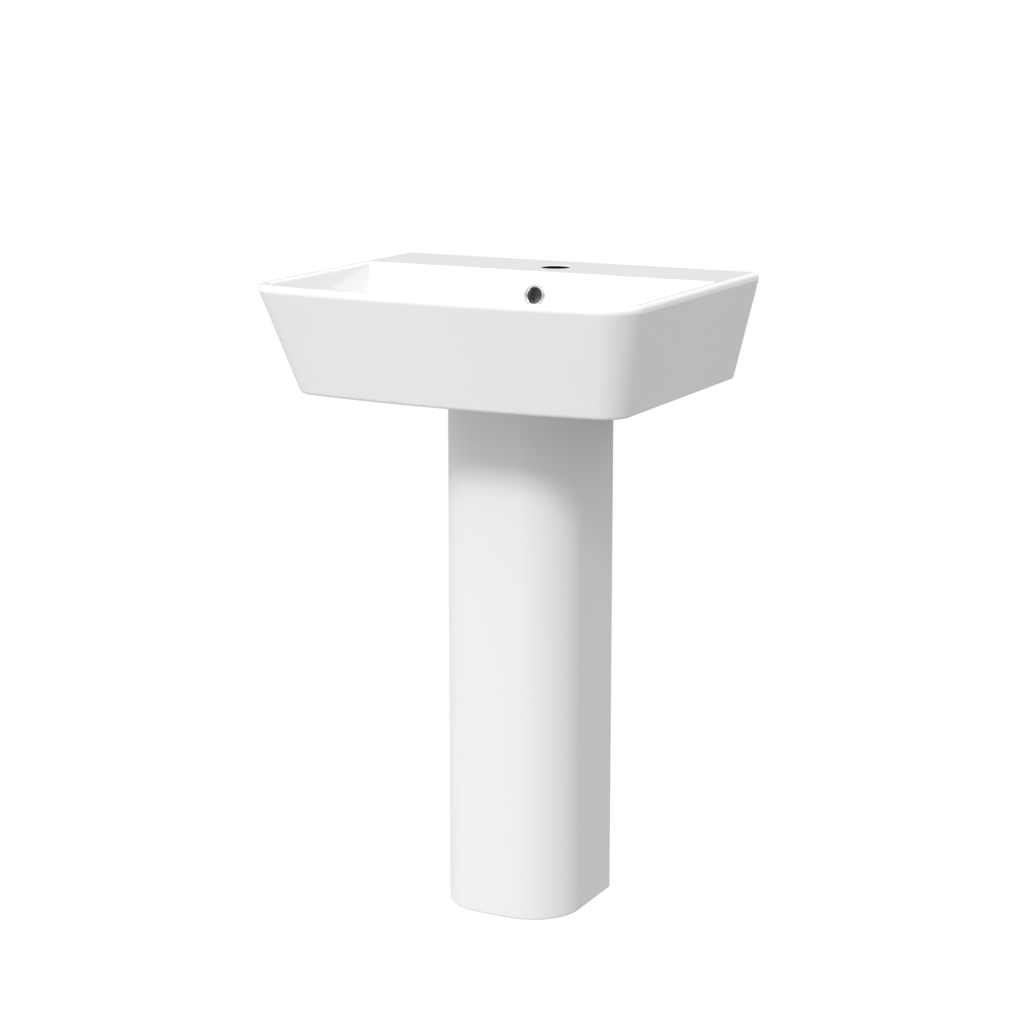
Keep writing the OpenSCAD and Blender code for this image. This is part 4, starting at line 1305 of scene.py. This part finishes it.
class SINK_OT_trap(bpy.types.Operator):
    """Builds the bottle trap with its dip tube, seals, nuts and screw-on bottle"""

    bl_idname = "sink.trap"
    bl_label = "Bottle Trap"

    def execute(self, context):
        f = context.scene.sink_fittings
        SINK_OT_waste.washer("inlet_washer", f.pipe / 2 - f.pipe_wall)
        self.inlet_nut(f)
        self.dip_tube(f)
        self.top_joint(f)
        self.head(f)
        low, high, radius = reach("bottle_ring")
        bore, side = self.head_radius() - HEAD_WALL, radius - 0.5 * MM
        profile = [(bore, low), (side, low), (radius, (low + high) / 2), (side, high), (bore, high)]
        upright("bottle_ring_rubber", "bottle_ring", profile, soft=0.5 * MM)
        self.bottle(f)
        return {"FINISHED"}

    @staticmethod
    def head_radius():
        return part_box("trap_head")[1].x - HEAD_BAND

    @staticmethod
    def inlet_nut(f):
        low, high, _ = reach("inlet_nut")
        nut = ribbed_nut("inlet_nut_plastic", f, f.thread / 2, 6 * MM, high - low, f.thread_pitch, 16)
        moved(nut, turn=Matrix.Rotation(math.pi, 4, "X"))
        dress(moved(nut, y=WASTE_Y, z=high), "inlet_nut", crease=30)

    @staticmethod
    def dip_tube(f):
        low, high, flange = reach("dip_tube")
        pipe, bore = f.pipe / 2, f.pipe / 2 - f.pipe_wall
        profile = [
            (bore, low), (pipe - 0.4 * MM, low), (pipe, low + 0.5 * MM), (pipe, high - 3 * MM),
            (flange, high - 3 * MM), (flange, high), (bore, high),
        ]
        upright("dip_tube_plastic", "dip_tube", profile, soft=0.35 * MM)

    @staticmethod
    def top_joint(f):
        dress(moved(seal_ring("top_seal", f), y=WASTE_Y, z=reach("top_seal")[0]), "top_seal")
        low, high, _ = reach("top_nut")
        nut = ribbed_nut("top_nut_plastic", f, f.pipe / 2 + NECK_WALL, NUT_WALL, high - low, f.trap_pitch, 14)
        dress(moved(nut, y=WASTE_Y, z=low), "top_nut", crease=30)

    @classmethod
    def head(cls, f):
        low, neck_top, _ = reach("trap_head")
        radius = cls.head_radius()
        top = neck_top - 16 * MM
        neck, socket = f.pipe / 2 + NECK_WALL, f.pipe / 2 + f.slip_gap
        outside = [
            (0, low), (radius + HEAD_BAND, low), (radius + HEAD_BAND, low + 6.4 * MM), (radius, low + 7 * MM),
            (radius, top - 4 * MM), (radius - 4 * MM, top), (neck, top), (neck, neck_top), (0, neck_top),
        ]
        cut = thread(top + 2 * MM, neck_top - 0.5 * MM, f.trap_pitch, 1.1 * MM, neck)
        body = turned("trap_head_plastic", outside, 96, soft=1.2 * MM, longest=0.8 * MM, shape=cut)
        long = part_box("trap_head")[1].y - WASTE_Y
        cut = thread(long - 16 * MM, long - 0.5 * MM, f.trap_pitch, 1.1 * MM, neck)
        arm = [(0, 0), (neck, 0), (neck, long), (0, long)]
        arm = turned("arm", arm, 96, soft=0.6 * MM, longest=0.8 * MM, shape=cut)
        join(body, moved(arm, z=OUTLET_Z, turn=SIDEWAYS))
        inner, ceiling = radius - HEAD_WALL, top - 3 * MM
        hollow = [(0, low - MM), (inner, low - MM), (inner, ceiling - 2 * MM)]
        hollow += [(inner - 2 * MM, ceiling), (0, ceiling)]
        carve(body, turned("hollow", hollow, 96, soft=0.5 * MM))

        def throat(start, mouth):
            """Tool for a neck's socket, widened at its mouth for the seal."""
            seat, over = neck - 0.7 * MM, mouth + MM
            profile = [(0, start), (socket, start), (socket, mouth - SEAL_SEAT)]
            profile += [(seat, mouth), (seat, over), (0, over)]
            return turned("throat", profile, 96, soft=0)

        carve(body, throat(top - 5 * MM, neck_top))
        carve(body, moved(throat(long - 31 * MM, long), z=OUTLET_Z, turn=SIDEWAYS))
        dress(moved(body, y=WASTE_Y), "trap_head", crease=34)

    @classmethod
    def bottle(cls, f):
        low, high, _ = reach("trap_bottle")
        radius = cls.head_radius() - MM
        neck = cls.head_radius() - HEAD_WALL - BOTTLE_GAP
        band, inner, shoulder = radius + 2 * MM, neck - BOTTLE_WALL, high - 14 * MM
        corner, inner_corner = 14 * MM, 12 * MM
        end = [(radius - corner * left, low + corner * gone) for gone, left in rounding(11)]
        floor = low + BOTTLE_WALL
        inside = [(inner - inner_corner * gone, floor + inner_corner * left) for gone, left in rounding(11)]
        profile = [
            (0, low), *end, (radius, shoulder - 15 * MM), (band, shoulder - 14 * MM),
            (band, shoulder - 0.6 * MM), (band - 0.6 * MM, shoulder), (neck, shoulder), (neck, high - 0.8 * MM),
            (neck - 0.8 * MM, high), (inner, high), *inside, (0, floor),
        ]
        grip = ribs(24, 1.6 * MM, band, shoulder - 13.4 * MM, shoulder - 0.8 * MM)
        cut = thread(shoulder + MM, high - 0.5 * MM, f.trap_pitch, 0.9 * MM, neck)
        look = {"soft": 0.4 * MM, "longest": 1.6 * MM, "shape": both(grip, cut)}
        upright("trap_bottle_plastic", "trap_bottle", profile, 192, 34, **look)


# ---------- outlet ----------


class SINK_OT_outlet(bpy.types.Operator):
    """Builds the outlet pipe, its seal and nut, and the cover plate at the wall"""

    bl_idname = "sink.outlet"
    bl_label = "Outlet Pipe"

    @staticmethod
    def along(obj, y):
        return moved(obj, y=y, z=OUTLET_Z, turn=SIDEWAYS)

    def execute(self, context):
        f = context.scene.sink_fittings
        pipe, bore = f.pipe / 2, f.pipe / 2 - f.pipe_wall
        dress(self.along(seal_ring("outlet_seal", f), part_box("outlet_seal")[0].y), "outlet_seal")

        low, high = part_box("outlet_nut")
        nut = ribbed_nut("outlet_nut_plastic", f, pipe + NECK_WALL, NUT_WALL, high.y - low.y, f.trap_pitch, 14)
        dress(self.along(nut, low.y), "outlet_nut", crease=30)

        low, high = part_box("outlet_pipe")
        long = high.y - low.y
        mark = WALL_Y - 6 * MM - low.y
        profile = [
            (bore, 0), (pipe - 0.3 * MM, 0), (pipe, 0.4 * MM), (pipe, mark), (pipe - 0.4 * MM, mark + 0.3 * MM),
            (pipe - 0.4 * MM, mark + 1.2 * MM), (pipe, mark + 1.5 * MM), (pipe, long - 1.5 * MM),
            (pipe - 0.7 * MM, long), (bore, long),
        ]
        tube = turned("outlet_pipe_plastic", profile, 96, soft=0.15 * MM, longest=6 * MM)
        dress(self.along(tube, low.y), "outlet_pipe")

        low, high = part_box("pipe_flange")
        edge, hole, deep = (high.x - low.x) / 2, pipe + f.slip_gap, high.y - low.y

        def dome(ball, start, end, count, least, most):
            """Part of a ball's section between two radii, held between two heights."""
            drop = 42 * MM
            return [
                (x, min(max(math.sqrt(ball**2 - x**2) - drop, least), most)) for x in np.linspace(start, end, count)
            ]

        outside = dome(56 * MM, edge, hole, 16, 0.25 * MM, deep)
        inside = dome(53.5 * MM, hole, edge - 3.2 * MM, 14, 0.0, deep)
        plate = turned("pipe_flange_chrome", [*outside, *inside, (edge - 0.4 * MM, 0)], 96, soft=0.3 * MM)
        moved(plate, turn=Matrix.Rotation(math.pi, 4, "X"))
        dress(self.along(plate, WALL_Y), "pipe_flange")
        return {"FINISHED"}


# ---------- wall fixings ----------


class SINK_OT_wall_fixings(bpy.types.Operator):
    """Builds the hanger bolts with their plugs, bushes, washers and nuts"""

    bl_idname = "sink.wall_fixings"
    bl_label = "Wall Fixings"

    @staticmethod
    def pair(name, node, make, crease=34):
        """Two like pieces along Y, the first made from the wall side to the front."""
        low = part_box(node)[0].y
        made = []
        for x, _, z in (mount["pos_m"] for mount in WALL_PLUGS):
            made.append(moved(make(), x, low, z, SIDEWAYS))
        dress(merged(name, made), node, crease=crease)

    def execute(self, context):
        f = context.scene.sink_fittings

        def deep(node):
            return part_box(node)[1].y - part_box(node)[0].y

        bolt_r, long = 5 * MM, deep("wall_bolts")
        in_wall = WALL_PLUGS[0]["dims"]["length_mm"] * MM + 6 * MM

        def bolt():
            profile = [(0, 0), (bolt_r - MM, 0), (bolt_r, MM), (bolt_r, long - 7 * MM), (MM, long), (0, long)]
            fine = thread(0.2 * MM, long - in_wall - 10 * MM, f.bolt_pitch, 0.75 * MM, bolt_r)
            coarse = thread(long - in_wall, long - 7 * MM, 3.6 * MM, 1.1 * MM, bolt_r)
            return turned("bolt", profile, 48, soft=0.15 * MM, longest=0.35 * MM, shape=both(fine, coarse))

        self.pair("wall_bolts_steel", "wall_bolts", bolt, crease=50)

        plug_r = WALL_PLUGS[0]["dims"]["r_mm"] * MM
        plug_long = deep("wall_plugs")

        def plug():
            bore = bolt_r + 0.1 * MM
            teeth = [(bore, 0), (plug_r, 0), (plug_r, 6 * MM)]
            for start in np.arange(7 * MM, plug_long - 6 * MM, 5 * MM):
                teeth += [(plug_r - 0.7 * MM, start), (plug_r, start + 3.2 * MM)]
            teeth += [(plug_r - 0.6 * MM, plug_long - MM), (plug_r - 1.2 * MM, plug_long), (bore, plug_long)]
            return turned("plug", teeth, 64, soft=0.15 * MM)

        self.pair("wall_plugs_nylon", "wall_plugs", plug)

        def bush():
            bore, collar, end = bolt_r + 0.15 * MM, bolt_r + 8 * MM, deep("bolt_bushes")
            profile = [
                (bore, 0), (collar - 0.8 * MM, 0), (collar, 0.8 * MM), (collar, 2.5 * MM), (plug_r, 2.5 * MM),
                (plug_r, end - 0.6 * MM), (plug_r - 0.5 * MM, end), (bore, end),
            ]
            return turned("bush", profile, 64, soft=0.25 * MM)

        self.pair("bolt_bushes_nylon", "bolt_bushes", bush)

        def washer():
            bore, rim, thick = bolt_r + 0.3 * MM, bolt_r + 6 * MM, deep("bolt_washers")
            return turned("washer", [(bore, 0), (rim, 0), (rim, thick), (bore, thick)], 72, soft=0.35 * MM)

        self.pair("bolt_washers_steel", "bolt_washers", washer)

        def nut():
            corner, height, bore = 9.8 * MM, deep("bolt_nuts"), bolt_r + 0.1 * MM
            edge, side = 0.9 * MM, corner + 0.05 * MM
            profile = [
                (bore + edge, 0), (corner - 1.5 * MM, 0), (side, edge), (side, height - edge),
                (corner - 1.5 * MM, height), (bore + edge, height), (bore, height - edge), (bore, edge),
            ]
            cut = thread(0, height, f.bolt_pitch, 0.7 * MM, bore, bore=True)
            return turned("nut", profile, 96, soft=0.15 * MM, longest=0.35 * MM, shape=both(flats(6, corner), cut))

        self.pair("bolt_nuts_steel", "bolt_nuts", nut, crease=24)
        return {"FINISHED"}


# ---------- stage ----------


class StageSettings(bpy.types.PropertyGroup):
    """Camera, floor and lights."""

    camera_at: bpy.props.FloatVectorProperty(
        name="Camera", description="Where the camera stands", default=(1.4374, -2.8485, 1.2143), subtype="TRANSLATION"
    )
    camera_turn: slope("Camera turn", "How far the camera looks to the left of straight ahead", 26.86)
    camera_dip: slope("Camera dip", "How far the camera looks down", 12.161)
    lens: bpy.props.FloatProperty(
        name="Lens", description="Focal length on a 36 mm wide sensor", default=89.374, min=10
    )
    ambient: light("Ambient", "Even light from all round", 0.505)
    from_left: light("Left fill", "Light that grows to the left", 0.15)
    from_above: light("Top fill", "Light that grows overhead", 0.33)
    upper: light("Upper fill", "Extra light half way up the sky", 0.35)
    lower: light("Lower fill", "Extra light just below the horizon", 0.5)
    key: light("Key", "Strength of the soft key light", 1.62)
    key_turn: slope("Key turn", "How far the key stands to the right of straight ahead", 7)
    key_height: slope("Key height", "How high the key stands", 40.5)
    key_spread: slope("Key spread", "Width of the key as seen from the sink", 13)


# Upright strips low in the studio, seen in the glaze: bearing, half width in degrees, how much lighter
SKY_STRIPS = ((-66.0, 15.0, 2.2), (-24.5, 4.5, -1.0), (20.0, 9.0, -0.9))


class SINK_OT_stage(bpy.types.Operator):
    """Sets up the floor, the soft lights and the camera"""

    bl_idname = "sink.stage"
    bl_label = "Stage"

    def execute(self, context):
        stage = context.scene.sink_stage
        self.floor()
        self.sky(context, stage)
        self.key_light(stage)
        self.camera(context, stage)
        context.scene.view_settings.view_transform = "Standard"
        return {"FINISHED"}

    @staticmethod
    def floor():
        """A plain white floor that carries no shadow and leaves the lighting to the sky."""
        wide = 1000.0
        corners = [(-wide, -wide, 0), (wide, -wide, 0), (wide, wide, 0), (-wide, wide, 0)]
        floor = solid("floor", corners, [(0, 1, 2, 3)])
        finish = Finish("pale_floor")
        finish.set(Base_Color=(0, 0, 0), Specular_IOR_Level=0.0, Emission_Color=(1, 1, 1), Emission_Strength=1.0)
        floor.data.materials.append(finish.material)
        floor.visible_diffuse = floor.visible_glossy = floor.visible_shadow = False

    @staticmethod
    def sky(context, stage):
        world = bpy.data.worlds.new("studio")
        context.scene.world = world
        world.use_nodes = True
        nodes = Nodes(world.node_tree)
        direction = nodes.node("ShaderNodeTexCoord", output="Generated")
        split = nodes.node("ShaderNodeSeparateXYZ", sockets=(direction,)).socket.node
        x, y, up = (Value(nodes, output) for output in split.outputs)
        strength = stage.ambient + stage.from_above * nodes.band(up, 0.0, 1.0) - stage.from_left * x
        turn = nodes.node("ShaderNodeMath", {"operation": "ARCTAN2"}, (x, -1 * y))
        low = nodes.peak(up, -0.16, 0.12)
        strength += stage.upper * nodes.peak(up, 0.55, 0.33) + stage.lower * low
        for place, width, change in SKY_STRIPS:
            strength += change * low * nodes.peak(turn, math.radians(place), math.radians(width))
        back = world.node_tree.nodes["Background"]
        nodes.feed(back.inputs["Color"], (1, 1, 1))
        nodes.feed(back.inputs["Strength"], strength)

    @staticmethod
    def key_light(stage):
        lamp = bpy.data.lights.new("key_light", "SUN")
        lamp.energy, lamp.angle, lamp.specular_factor = stage.key, stage.key_spread, 0.5
        placed("key_light", lamp).rotation_euler = (math.pi / 2 - stage.key_height, 0, stage.key_turn)

    @staticmethod
    def camera(context, stage):
        lens = bpy.data.cameras.new("camera")
        lens.lens, lens.sensor_width, lens.clip_end = stage.lens, 36, 2000
        camera = placed("camera", lens)
        camera.location = stage.camera_at
        camera.rotation_euler = (math.pi / 2 - stage.camera_dip, 0, stage.camera_turn)
        context.scene.camera = camera


# ---------- panel and start ----------

OPERATORS = (
    SINK_OT_basin,
    SINK_OT_overflow_ring,
    SINK_OT_pedestal,
    SINK_OT_feet,
    SINK_OT_waste,
    SINK_OT_plug,
    SINK_OT_trap,
    SINK_OT_outlet,
    SINK_OT_wall_fixings,
    SINK_OT_stage,
)
SETTINGS = {
    "sink_basin": BasinSizes,
    "sink_pedestal": PedestalSizes,
    "sink_fittings": FittingSizes,
    "sink_colours": FinishColours,
    "sink_stage": StageSettings,
}


class SINK_PT_panel(bpy.types.Panel):
    """Lists the sink's pieces in the sidebar"""

    bl_idname = "SINK_PT_panel"
    bl_label = "Pedestal Sink"
    bl_space_type = "VIEW_3D"
    bl_region_type = "UI"
    bl_category = "Sink"

    def draw(self, context):
        for settings in SETTINGS:
            group = getattr(context.scene, settings)
            column = self.layout.column(align=True)
            for key in group.bl_rna.properties.keys():
                if key not in ("rna_type", "name"):
                    column.prop(group, key)
        for operator in OPERATORS:
            self.layout.operator(operator.bl_idname)


def register():
    for settings, group in SETTINGS.items():
        bpy.utils.register_class(group)
        setattr(bpy.types.Scene, settings, bpy.props.PointerProperty(type=group))
    for made in (*OPERATORS, SINK_PT_panel):
        bpy.utils.register_class(made)


def unregister():
    for made in (SINK_PT_panel, *reversed(OPERATORS)):
        bpy.utils.unregister_class(made)
    for settings, group in SETTINGS.items():
        delattr(bpy.types.Scene, settings)
        bpy.utils.unregister_class(group)


def main():
    """Builds every piece and the stage."""
    register()
    for operator in OPERATORS:
        group, name = operator.bl_idname.split(".")
        if "FINISHED" not in getattr(getattr(bpy.ops, group), name)():
            raise RuntimeError(f"{operator.bl_label} did not finish")


if __name__ == "__main__":
    main()
